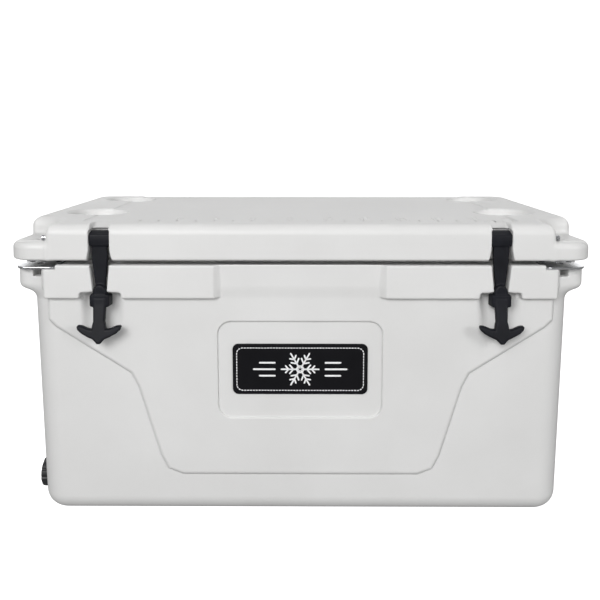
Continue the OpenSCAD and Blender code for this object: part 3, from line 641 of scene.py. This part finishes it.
def rounded(points, r):
    """A profile with its inner corners cut back by r."""
    kept = [points[0]]
    for before, here, after in zip(points, points[1:], points[2:]):
        before, here, after = np.array(before), np.array(here), np.array(after)
        for other in (before, after):
            way = other - here
            size = np.linalg.norm(way)
            kept.append(tuple(here + way / size * min(r, size * 0.45)))
    return kept + [points[-1]]


def threads(start, end, radius, pitch, depth):
    """Profile points of a row of ridges between two places along an axis."""
    count = max(int(abs(end - start) / pitch), 1)
    step = (end - start) / count
    ridge = ((0.0, -depth), (0.35, 0.0), (0.6, 0.0), (0.9, -depth))
    return [(start + step * (i + u), radius + v) for i in range(count) for u, v in ridge]


def swept(name, path, profile):
    """A closed ring: profile points (out, up) carried round a closed plan path."""
    path = np.array(path)
    along = np.roll(path, -1, 0) - np.roll(path, 1, 0)
    out = np.stack([along[:, 1], -along[:, 0]], 1) / np.linalg.norm(along, axis=1)[:, None]
    rings = [[(x + o * u, y + p * u, v) for u, v in profile] for (x, y), (o, p) in zip(path, out)]
    points = [point for ring in rings for point in ring]
    faces = []
    for i in range(len(rings)):
        for j in range(len(profile)):
            a, b, k = i * len(profile), (i + 1) % len(rings) * len(profile), (j + 1) % len(profile)
            faces.append((a + j, b + j, b + k, a + k))
    return creased(mesh_object(name, points, faces))


def round_path(half_x, half_y, r, steps=14):
    """Points round a rounded rectangle, against the clock."""
    path = []
    for sx, sy, start in ((1, 1, 0), (-1, 1, 90), (-1, -1, 180), (1, -1, 270)):
        for i in range(steps + 1):
            a = math.radians(start + 90 * i / steps)
            path.append((sx * (half_x - r) + r * math.cos(a), sy * (half_y - r) + r * math.sin(a)))
    return path


def prisms(name, outlines, low, high, place=None):
    """Flat-topped shapes from outlines, raised from low to high, with a small bevel on top."""
    points, faces = [], []
    for shape in outlines:
        shape = np.array(shape, float)
        middle = shape.mean(0)
        inner = middle + (shape - middle) * 0.97
        first, n = len(points), len(shape)
        for ring, z in ((shape, low), (shape, high - 0.25 * (high - low)), (inner, high)):
            points += [(u, v, z) for u, v in ring]
        faces.append([first + i for i in range(n)][::-1])
        faces.append([first + 2 * n + i for i in range(n)])
        for level in (0, n):
            for i in range(n):
                k = (i + 1) % n
                faces.append((first + level + i, first + level + k, first + level + n + k,
                              first + level + n + i))
    points = np.array(points)
    return creased(mesh_object(name, place(points) if place else points, faces))


def stroke(start, end, width):
    """Outline of a stroke with round ends."""
    start, end = np.array(start, float), np.array(end, float)
    angle = math.atan2(*(end - start)[::-1])
    turns = [angle - math.pi / 2 + math.pi * i / 5 for i in range(6)]
    cap = [end + width / 2 * np.array((math.cos(a), math.sin(a))) for a in turns]
    return cap + [start - width / 2 * np.array((math.cos(a), math.sin(a))) for a in turns]


def fill(tree, socket, value):
    """Links a socket to another, or gives it a plain value."""
    if isinstance(value, bpy.types.NodeSocket):
        tree.links.new(value, socket)
    else:
        socket.default_value = value


# ---- geometry nodes for what repeats ----
class Repeat:
    """A node group that copies an item over a base mesh and leaves one plain mesh."""

    def __init__(self, name, **inputs):
        self.group = bpy.data.node_groups.new(name, "GeometryNodeTree")
        sockets = self.group.interface
        sockets.new_socket("Geometry", in_out="OUTPUT", socket_type="NodeSocketGeometry")
        self.ids = {"Base": sockets.new_socket("Base", in_out="INPUT", socket_type="NodeSocketGeometry").identifier}
        for key, kind in {**inputs, "Item": "Object", "Finish": "Material"}.items():
            self.ids[key] = sockets.new_socket(key, in_out="INPUT", socket_type="NodeSocket" + kind).identifier
        self.entry = self.group.nodes.new("NodeGroupInput")

    def node(self, kind, settings=None, inputs=None):
        made = self.group.nodes.new(kind)
        for key, value in (settings or {}).items():
            setattr(made, key, value)
        for key, value in (inputs or {}).items():
            fill(self.group, made.inputs[key], value)
        return made

    def close(self, points, rotation):
        item = self.node("GeometryNodeObjectInfo", None, {"Object": self.entry.outputs["Item"]})
        copies = self.node("GeometryNodeInstanceOnPoints", None, {
            "Points": points, "Instance": item.outputs["Geometry"], "Rotation": rotation})
        real = self.node("GeometryNodeRealizeInstances", None, {"Geometry": copies.outputs["Instances"]})
        finish = self.node("GeometryNodeSetMaterial", None, {
            "Geometry": real.outputs["Geometry"], "Material": self.entry.outputs["Finish"]})
        leave = self.group.nodes.new("NodeGroupOutput")
        self.group.links.new(finish.outputs["Geometry"], leave.inputs["Geometry"])

    def make(self, name, base, item, finish, place=None, **values):
        """One piece from a base mesh (points, edges); the item object is used up."""
        mesh = bpy.data.meshes.new(name)
        points, edges = base
        mesh.from_pydata((np.array(points, float) * MM).tolist(), edges, [])
        piece = bpy.data.objects.new(name, mesh)
        bpy.context.scene.collection.objects.link(piece)
        copier = piece.modifiers.new("repeat", "NODES")
        copier.node_group = self.group
        for key, value in {**values, "Item": item, "Finish": finish}.items():
            copier[self.ids[key]] = value
        evaluated(piece)
        bpy.data.objects.remove(item)
        if place:
            coords = np.empty(len(piece.data.vertices) * 3)
            piece.data.vertices.foreach_get("co", coords)
            piece.data.vertices.foreach_set("co", (place(coords.reshape(-1, 3) / MM) * MM).ravel())
        return creased(piece)


def along_path():
    """Copies at an even pitch along a path of edges, each turned along it."""
    repeat = Repeat("along_path", Pitch="Float")
    curve = repeat.node("GeometryNodeMeshToCurve", None, {"Mesh": repeat.entry.outputs["Base"]})
    points = repeat.node("GeometryNodeCurveToPoints", {"mode": "LENGTH"}, {
        "Curve": curve.outputs["Curve"], "Length": repeat.entry.outputs["Pitch"]})
    turn = repeat.node("FunctionNodeAlignRotationToVector", {"axis": "X", "pivot_axis": "Z"}, {
        "Vector": points.outputs["Tangent"]})
    repeat.close(points.outputs["Points"], turn.outputs["Rotation"])
    return repeat


def at_points():
    """Copies at the points of a mesh, each turned about the upright by a fixed chance."""
    repeat = Repeat("at_points", Turn="Float", Seed="Int")
    most = repeat.node("ShaderNodeCombineXYZ", None, {"Z": repeat.entry.outputs["Turn"]})
    chance = repeat.node("FunctionNodeRandomValue", {"data_type": "FLOAT_VECTOR"}, {
        1: most.outputs["Vector"], "Seed": repeat.entry.outputs["Seed"]})
    repeat.close(repeat.entry.outputs["Base"], chance.outputs[0])
    return repeat


def finished(piece, body, slot, material, *nodes):
    """Gives a piece its material and body, and hides the CAD nodes that it stands for; slot is not used."""
    piece.data.materials.clear()
    piece.data.materials.append(material)
    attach(piece, body)
    if nodes:
        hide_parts(*nodes)
    return piece


# ---- materials ----
class Value:
    """A shader socket that can be used in sums."""

    def __init__(self, paint, socket):
        self.paint, self.socket = paint, socket

    def maths(self, operation, *others):
        inputs = {i: v for i, v in enumerate(others)}
        return self.paint.node("Math", {"operation": operation}, inputs)

    def __add__(self, other):
        return self.maths("ADD", self, other)

    __radd__ = __add__

    def __mul__(self, other):
        return self.maths("MULTIPLY", self, other)

    __rmul__ = __mul__


class Paint:
    """One material and the nodes behind it."""

    def __init__(self, name):
        self.material = bpy.data.materials.new(name)
        self.material.use_nodes = True
        self.tree = self.material.node_tree
        self.shader = self.tree.nodes["Principled BSDF"]

    def node(self, kind, settings=None, inputs=None, output=0):
        """A node of a type: its settings first, then its socket values or links."""
        made = self.tree.nodes.new("ShaderNode" + kind)
        for key, value in (settings or {}).items():
            if key == "stops":
                for i, (place, colour) in enumerate(value):
                    ramp = made.color_ramp.elements
                    stop = ramp[i] if i < len(ramp) else ramp.new(place)
                    stop.position, stop.color = place, colour
            else:
                setattr(made, key, value)
        for key, value in (inputs or {}).items():
            fill(self.tree, made.inputs[key], getattr(value, "socket", value))
        return Value(self, made.outputs[output])

    def set(self, **values):
        for key, value in values.items():
            fill(self.tree, self.shader.inputs[key.replace("_", " ")], getattr(value, "socket", value))

    def place(self):
        return self.node("TexCoord", output="Object")

    def noise(self, scale, detail=3.0, roughness=0.5, where=None):
        return self.node("TexNoise", None, {
            "Vector": where or self.place(), "Scale": scale, "Detail": detail, "Roughness": roughness})

    def ramp(self, value, *stops):
        return self.node("ValToRGB", {"stops": stops}, {0: value})

    def blend(self, factor, first, second):
        return self.node("Mix", {"data_type": "RGBA"}, {0: factor, 6: first, 7: second}, 2)

    def range(self, value, low, high, to_low, to_high):
        return self.node("MapRange", None, {0: value, 1: low, 2: high, 3: to_low, 4: to_high})

    def bump(self, height, depth, strength=1.0):
        self.set(Normal=self.node("Bump", None, {"Height": height, "Distance": depth, "Strength": strength}))


def moulded_plastic():
    """Light grey rotomoulded polyethylene: fine pebble grain, faint mottling, satin."""
    paint = Paint("moulded_plastic")
    mottle = paint.noise(7.0, 4.0, 0.55)
    speck = paint.noise(420.0, 2.0, 0.6)
    tone = paint.range(mottle, 0.35, 0.65, 0.0, 1.0)
    base = paint.blend(tone, (0.715, 0.713, 0.706, 1), (0.748, 0.747, 0.741, 1))
    paint.set(Base_Color=paint.blend(paint.range(speck, 0.62, 0.75, 0.0, 0.10), base, (0.56, 0.555, 0.54, 1)))
    grain = paint.noise(1500.0, 2.0, 0.5)
    ripple = paint.noise(55.0, 2.0, 0.45)
    paint.set(Roughness=paint.range(mottle, 0.3, 0.7, 0.40, 0.50))
    paint.bump(grain * 0.35 + ripple * 0.9, 0.00035, 0.55)
    return paint.material


def mottled(name, mottle, colours, rough, span=None, grain=None, strength=0.5, **settings):
    """A plain finish: a mottle between two colours and two roughnesses, with a fine grain."""
    paint = Paint(name)
    mottle = paint.noise(*mottle)
    tone = paint.range(mottle, *span, 0.0, 1.0) if span else mottle
    paint.set(Base_Color=paint.blend(tone, *colours), Roughness=paint.range(mottle, *rough), **settings)
    if grain:
        paint.bump(paint.noise(grain, 2.0, 0.5), 0.0002, strength)
    return paint.material


def latch_rubber():
    """Smooth black rubber with a cool cast and a faint bloom."""
    return mottled("latch_rubber", (40.0, 4.0, 0.6), ((0.0040, 0.0044, 0.0070, 1), (0.0075, 0.0082, 0.0125, 1)),
                   (0.3, 0.7, 0.42, 0.54), (0.35, 0.7), 900.0, Specular_IOR_Level=0.24)


def gasket_rubber():
    """Dull black rubber with a powdery surface."""
    return mottled("gasket_rubber", (65.0, 5.0, 0.6), ((0.012, 0.012, 0.013, 1), (0.03, 0.03, 0.031, 1)),
                   (0.3, 0.7, 0.62, 0.82), (0.45, 0.75), 1100.0)


def black_plastic():
    """Injection moulded black plastic with a fine grain."""
    return mottled("black_plastic", (30.0, 3.0, 0.5), ((0.013, 0.013, 0.014, 1), (0.022, 0.022, 0.024, 1)),
                   (0.3, 0.7, 0.36, 0.48), None, 1300.0, 0.4)


def polished_steel():
    """Polished stainless steel with hairlines along the plate and small scuffs."""
    paint = Paint("polished_steel")
    lines = paint.noise(1.0, 3.0, 0.6, paint.node("Mapping", None, {
        "Vector": paint.place(), "Scale": (60.0, 2200.0, 2200.0)}))
    scuff = paint.noise(90.0, 5.0, 0.7)
    paint.set(Metallic=1.0)
    paint.set(Base_Color=paint.blend(lines, (0.60, 0.61, 0.63, 1), (0.72, 0.73, 0.75, 1)))
    paint.set(Roughness=paint.range(scuff, 0.4, 0.8, 0.13, 0.26) + lines * 0.05)
    paint.bump(lines, 0.00005, 0.5)
    return paint.material


def rigid_foam():
    """Pale yellow polyurethane foam with open cells."""
    paint = Paint("rigid_foam")
    cells = paint.node("TexVoronoi", None, {"Vector": paint.place(), "Scale": 700.0})
    paint.set(Base_Color=paint.ramp(cells, (0.0, (0.50, 0.38, 0.16, 1)), (0.7, (0.80, 0.69, 0.42, 1))))
    paint.set(Roughness=paint.range(cells, 0.0, 1.0, 0.8, 0.95))
    paint.bump(cells, 0.0006, 0.8)
    return paint.material


def badge_gloss():
    """Glossy black label plate with faint handling marks."""
    return mottled("badge_gloss", (28.0, 5.0, 0.65), ((0.004, 0.004, 0.005, 1), (0.009, 0.009, 0.011, 1)),
                   (0.4, 0.7, 0.14, 0.22), Specular_IOR_Level=0.2)


def badge_print():
    """White print of the label, slightly uneven."""
    paint = Paint("badge_print")
    wear = paint.noise(160.0, 4.0, 0.6)
    paint.set(Base_Color=paint.ramp(wear, (0.25, (0.78, 0.79, 0.80, 1)), (0.5, (0.92, 0.92, 0.93, 1))))
    paint.set(Roughness=paint.range(wear, 0.3, 0.7, 0.34, 0.46))
    return paint.material


PLASTIC, LATCH_RUBBER, GASKET_RUBBER = moulded_plastic(), latch_rubber(), gasket_rubber()
BLACK_PLASTIC, STEEL, FOAM = black_plastic(), polished_steel(), rigid_foam()
GLOSS, PRINT = badge_gloss(), badge_print()

NODE_PAINT = (
    (FOAM, "base_foam lid_foam"), (PLASTIC, "base_fill_plug lid_fill_plug"), (GLOSS, "badge"),
    (STEEL, "foot_screws lock_plate_screws hinge_pin_left hinge_pin_right latch_pin_left latch_pin_right"),
    (STEEL, "lock_plate_left lock_plate_right"),
    (BLACK_PLASTIC, "drain_hull drain_nut drain_cap hinge_bush_left hinge_bush_right"),
    (GASKET_RUBBER, "drain_hull_seal drain_cap_seal lid_gasket"),
    (GASKET_RUBBER, "foot_front_left foot_front_right foot_back_left foot_back_right"))
for material, nodes in NODE_PAINT:
    for node in nodes.split():
        for slot in frame["nodes"][node].material_slots:
            slot.material = material

# ---- camera, light and floor ----
FOCAL_PX, FRAME_PX = 697.0, 600.0
SENSOR = 36.0


def camera():
    data = bpy.data.cameras.new("camera")
    eye = bpy.data.objects.new("camera", data)
    bpy.context.scene.collection.objects.link(eye)
    data.sensor_width = SENSOR
    data.lens = SENSOR * FOCAL_PX / FRAME_PX
    data.shift_y = -0.1725
    data.clip_end = 50
    eye.location = (0.0049, -1.1083, 0.5273)
    eye.rotation_euler = (math.radians(90 - 5.157), 0, math.radians(0.32))
    bpy.context.scene.camera = eye


def area_light(name, place, aim, size, power):
    data = bpy.data.lights.new(name, "AREA")
    data.shape, data.size, data.size_y = "RECTANGLE", size[0], size[1]
    data.energy = power
    lamp = bpy.data.objects.new(name, data)
    lamp.location = place
    lamp.rotation_euler = (Vector(aim) - Vector(place)).to_track_quat("-Z", "Y").to_euler()
    bpy.context.scene.collection.objects.link(lamp)


def plane(name, corners, colour, glow):
    """A stage surface with a faint mottle and a little glow of its own, which lights nothing."""
    mesh = bpy.data.meshes.new(name)
    mesh.from_pydata(corners, [], [(0, 1, 2, 3)])
    piece = bpy.data.objects.new(name, mesh)
    bpy.context.scene.collection.objects.link(piece)
    piece.visible_diffuse = False
    paint = Paint(name)
    paint.set(Base_Color=paint.blend(paint.noise(3.0), (colour,) * 3 + (1,), (colour + 0.02,) * 3 + (1,)))
    paint.set(Roughness=0.7, Emission_Color=(1, 1, 1, 1), Emission_Strength=glow)
    mesh.materials.append(paint.material)
    return piece


def studio():
    world = bpy.data.worlds.new("studio")
    world.use_nodes = True
    world.node_tree.nodes["Background"].inputs["Color"].default_value = (1.0, 1.0, 1.0, 1)
    world.node_tree.nodes["Background"].inputs["Strength"].default_value = 0.26
    bpy.context.scene.world = world
    bpy.context.scene.view_settings.view_transform = "Standard"
    area_light("key", (-1.5, -4.2, 2.7), (0, 0, 0.22), (2.8, 1.7), 129)
    area_light("front", (-0.4, -1.9, 0.8), (0, 0, 0.25), (1.6, 0.5), 7.0)
    area_light("fill", (2.5, -2.6, 1.3), (0, 0, 0.2), (0.9, 1.2), 29)
    area_light("top", (0, 0.3, 2.2), (0, 0, 0.3), (2.2, 1.4), 4.2)
    half, high = 6.0, 5.0
    floor = plane("studio_floor", [(-half, -half, 0), (half, -half, 0), (half, half, 0), (-half, half, 0)], 0.8, 1.0)
    floor.visible_glossy = False
    plane("studio_wall", [(-half, half, 0), (half, half, 0), (half, half, high), (-half, half, high)], 0.8, 1.05)


camera()
studio()

# ---- the shells and latches ----
COARSE = 1.0
base_low = (-EAR_X - 3, -HALF_W - 3, BOTTOM_Z - 3)
base_high = (EAR_X + 3, HALF_W + 21, RIM_Z + 15)
base_shell = moulded("base_shell_skin", base_field, base_low, base_high, 1.7 * COARSE, SHELL_LIMIT)
finished(base_shell, "base", "shell", PLASTIC, "base_shell")

lid_low = (-HALF_L - 3, -HALF_W - 3, PLUG_Z - 3)
lid_high = (HALF_L + 3, HALF_W + 21, TOP_Z + 3)
lid_shell = moulded("lid_shell_skin", lid_field, lid_low, lid_high, 1.6 * COARSE, SHELL_LIMIT)
finished(lid_shell, "lid", "shell", PLASTIC, "lid_shell")

for side, sign in (("left", -1), ("right", 1)):
    def field(x, y, z, middle=sign * LATCH_X):
        return latch_field(x - middle, y, z)
    low = (sign * LATCH_X - 32, -HALF_W - 20, LATCH_LOW[2] - 2)
    high = (sign * LATCH_X + 32, PIN_Y + LOOP_R + 2, LATCH_HIGH[2] + 2)
    latch = moulded(f"latch_{side}_rubber", field, low, high, 0.7 * COARSE, 60000)
    finished(latch, f"latch_{side}", "latch_rubber", LATCH_RUBBER, f"latch_{side}")


# ---- steel: corner plates, screws and pins ----
def field_piece(name, field, node, cell, triangles, *finish):
    """A finished piece from a field, inside the box of the CAD node that it stands for."""
    low, high = box_mm(node)
    finished(moulded(name, field, low - 2, high + 2, cell, triangles), *finish, node)


def screw_item(flip):
    """The screw that the node groups copy, pointing down or up."""
    def field(x, y, z):
        return screw_field(x, y, flip * z)
    ends = sorted((flip * -15.0, flip * 1.0))
    return moulded("screw", field, (-5, -5, ends[0]), (5, 5, ends[1]), 0.32, 5000)


for side in ("left", "right"):
    field_piece(f"corner_plate_{side}", plate_field, f"lock_plate_{side}", 0.55, 24000, "base", "stainless", STEEL)

SPREAD = at_points()
plate_points = [(sign * x, SCREW_Y, PLATE_HIGH[2] - 0.15) for sign in (-1, 1) for x in SCREW_X]
foot_x, foot_y, _ = (FOOT_LOW + FOOT_HIGH) / 2
foot_points = [(sx * foot_x, sy * foot_y, 1.15) for sx in (-1, 1) for sy in (-1, 1)]
for name, points, flip, seed, node in (("corner_plate_screws", plate_points, 1, 4, "lock_plate_screws"),
                                       ("foot_pad_screws", foot_points, -1, 9, "foot_screws")):
    screws = SPREAD.make(name, (points, []), screw_item(flip), STEEL, Turn=1.0, Seed=seed)
    finished(screws, "base", "stainless", STEEL, node)

for side in ("left", "right"):
    for kind, body in (("latch_pin", "lid"), ("hinge_pin", "base")):
        node = f"{kind}_{side}"
        low, high = box_mm(node)
        r = (high[2] - low[2]) / 2
        end = [(3, 0), (3, r * 0.7), (0.1, r * 0.76), (0.9, r - 0.05), (3, r - 0.05), (3.4, r - 0.5),
               (4.2, r - 0.5), (4.6, r - 0.05)]
        profile = [(low[0] + along, radius) for along, radius in end]
        profile += [(high[0] - along, radius) for along, radius in end[::-1]]
        pin = turned(node + "_rod", profile, (0, (low[1] + high[1]) / 2, (low[2] + high[2]) / 2))
        finished(pin, body, "stainless", STEEL, node)
    node = f"hinge_bush_{side}"
    low, high = box_mm(node)
    inner, outer = PIN_R + 0.05, (high[2] - low[2]) / 2 - 0.02
    ring = tube(low[0] + 9, low[0], high[0], inner, outer)
    bush = turned(node + "_sleeve", rounded(ring, 0.5), (0, HINGE_Y, HINGE_Z))
    finished(bush, "lid", "black_plastic", BLACK_PLASTIC, node)

# ---- label ----
field_piece("label_plate", badge_field, "badge", 0.6, 20000, "base", "badge_gloss", GLOSS)
BORDER_IN, DASH_PITCH, PRINT_T = 5.6, 3.9, 0.22
border = round_path(BADGE_W / 2 - BORDER_IN, BADGE_H / 2 - BORDER_IN, 8)
border = [(u, v + BADGE_UP, BADGE_OUT) for u, v in border]
loop = [(i, (i + 1) % len(border)) for i in range(len(border))]
TRACK = along_path()
dash = prisms("dash", [stroke((-0.85, 0), (0.85, 0), 1.25)], -0.1, PRINT_T)
border = TRACK.make("label_border", (border, loop), dash, PRINT, badge_place, Pitch=DASH_PITCH * MM)
finished(border, "base", "badge_gloss", PRINT)


def turned_by(point, angle):
    """A plan point turned about the origin by an angle in degrees."""
    c, s = math.cos(math.radians(angle)), math.sin(math.radians(angle))
    return (point[0] * c - point[1] * s, point[0] * s + point[1] * c)


def snowflake(size):
    """Strokes of a six-armed flake."""
    lines = []
    for arm in range(0, 360, 60):
        lines.append((turned_by((size * 0.10, 0), arm), turned_by((size, 0), arm)))
        for at, reach in ((0.36, 0.30), (0.62, 0.24)):
            for lean in (-50, 50):
                c, s = turned_by((size * reach, 0), lean)
                lines.append((turned_by((size * at, 0), arm), turned_by((size * at + c, s), arm)))
        lines.append((turned_by((size * 0.2, 0), arm), turned_by((size * 0.2, 0), arm + 60)))
    return lines


def label_place(points):
    return badge_place(points + np.array((0, BADGE_UP, BADGE_OUT)))


bars = [((sign * 34, v), (sign * (62 - abs(v) * 0.9), v)) for sign in (-1, 1) for v in (-9, 0, 9)]
for name, lines, width in (("label_flake", snowflake(25), 2.1), ("label_bars", bars, 2.4)):
    drawn = prisms(name, [stroke(a, b, width) for a, b in lines], -0.1, PRINT_T, label_place)
    finished(drawn, "base", "badge_gloss", PRINT)

# ---- raised ruler on the lid ----
SEGMENTS = {"a": (0, 1, 1, 1), "b": (1, 1, 1, 0.5), "c": (1, 0.5, 1, 0), "d": (0, 0, 1, 0),
            "e": (0, 0.5, 0, 0), "f": (0, 1, 0, 0.5), "g": (0, 0.5, 1, 0.5)}
DIGITS = ("abcdef", "bc", "abged", "abgcd", "fgbc", "afgcd", "afgedc", "abc", "abcdefg", "abcdfg")
RULER_X, RULER_Y, DIGIT_W, DIGIT_H = -168.0, -HALF_W + 55, 7.0, 26.0
MARK_LOW, MARK_HIGH = TOP_Z - STRIP_D - 0.3, TOP_Z - 0.8


def number(value, x, y):
    """Strokes of a number, centred on x, standing on y."""
    text = str(value)
    wide = DIGIT_W * 1.7
    lines = []
    for i, digit in enumerate(text):
        start = x + (i - (len(text) - 1) / 2) * wide - DIGIT_W / 2
        for key in DIGITS[int(digit)]:
            u0, v0, u1, v1 = SEGMENTS[key]
            lines.append(((start + u0 * DIGIT_W, y + v0 * DIGIT_H), (start + u1 * DIGIT_W, y + v1 * DIGIT_H)))
    return lines


marks = [line for i in range(10) for line in number(2 * i + 2, RULER_X + 2 * i * INCH, RULER_Y)]
numerals = prisms("ruler_numerals", [stroke(a, b, 2.2) for a, b in marks], MARK_LOW, MARK_HIGH)
finished(numerals, "lid", "shell", PLASTIC)
for name, pitch, length in (("ruler_inches", INCH, 15.0), ("ruler_halves", INCH / 2, 9.0)):
    start, end = RULER_X - 2 * INCH + 0.001, RULER_X + 19 * INCH
    tick = prisms("tick", [stroke((0, 3), (0, 3 + length), 1.3)], 0, MARK_HIGH - MARK_LOW)
    path = [(start, STRIP_Y, MARK_LOW), (start + pitch * round((end - start) / pitch), STRIP_Y, MARK_LOW)]
    finished(TRACK.make(name, (path, [(0, 1)]), tick, PLASTIC, Pitch=pitch * MM * 0.9999), "lid", "shell", PLASTIC)

# ---- gasket, drain, feet and plugs ----
foot, top = GASKET_LOW[2], GASKET_HIGH[2]
lips = [(-4.6, top), (-5, top - 0.5), (-5, foot + 2.4), (-4.6, foot + 0.5), (-3.4, foot), (-2.2, foot + 0.7),
        (-1.1, foot + 2.0), (0, foot + 2.3), (1.1, foot + 2.0), (2.2, foot + 0.7), (3.4, foot),
        (4.6, foot + 0.5), (5, foot + 2.4), (5, top - 0.5), (4.6, top)]
gasket = swept("lid_gasket_strip", round_path(CAV_X + 9, CAV_Y + 9, CAVITY_R + 9), lips)
finished(gasket, "lid", "gasket_rubber", GASKET_RUBBER, "lid_gasket")

field_piece("drain_cap_knob", cap_field, "drain_cap", 0.6, 26000, "drain_cap", "black_plastic", BLACK_PLASTIC)
field_piece("drain_lock_nut", nut_field, "drain_nut", 0.7, 9000, "base", "black_plastic", BLACK_PLASTIC)
low, high = box_mm("drain_hull")
seat = -DRAIN_X + 2
hull = [(seat, 10), (low[0], 10), (low[0], 12.2)] + threads(low[0] + 0.3, seat - 3.4, 12.7, 1.8, 0.6) + [
    (seat - 3, 12.2), (seat - 3, 17), (seat - 0.3, 17), (seat - 0.3, 12.7), (NUT_LOW[0] - 6, 12.7)]
hull += threads(NUT_LOW[0] - 5.5, high[0] - 0.5, 12.7, 1.8, 0.6) + [(high[0], 12.2), (high[0], 10), (seat, 10)]
finished(turned("drain_fitting", rounded(hull, 0.3), (0, DRAIN_Y, DRAIN_Z)),
         "base", "black_plastic", BLACK_PLASTIC, "drain_hull")
for node, body, inner in (("drain_hull_seal", "base", 13.0), ("drain_cap_seal", "drain_cap", 10.2)):
    low, high = box_mm(node)
    ring = tube((low[0] + high[0]) / 2, low[0], high[0], inner, (high[2] - low[2]) / 2)
    finished(turned(node + "_ring", rounded(ring, 0.4), (0, DRAIN_Y, DRAIN_Z)),
             body, "gasket_rubber", GASKET_RUBBER, node)

for end in ("front_left", "front_right", "back_left", "back_right"):
    field_piece(f"foot_pad_{end}", foot_field, f"foot_{end}", 0.9, 12000, "base", "gasket_rubber", GASKET_RUBBER)
for node, body in (("base_fill_plug", "base"), ("lid_fill_plug", "lid")):
    low, high = box_mm(node)
    wide = (high[0] - low[0]) / 2
    start = low[2]
    plug = [(start + 0.5, 0), (start + 0.5, wide * 0.45), (start, wide * 0.52), (start, wide), (start + 1, wide),
            (start + 1, wide - 5.15), (high[2], wide - 5.15), (high[2], 0)]
    finished(turned(node + "_disc", rounded(plug, 0.4), ((low[0] + high[0]) / 2, (low[1] + high[1]) / 2, 0), "z"),
             body, "shell", PLASTIC, node)
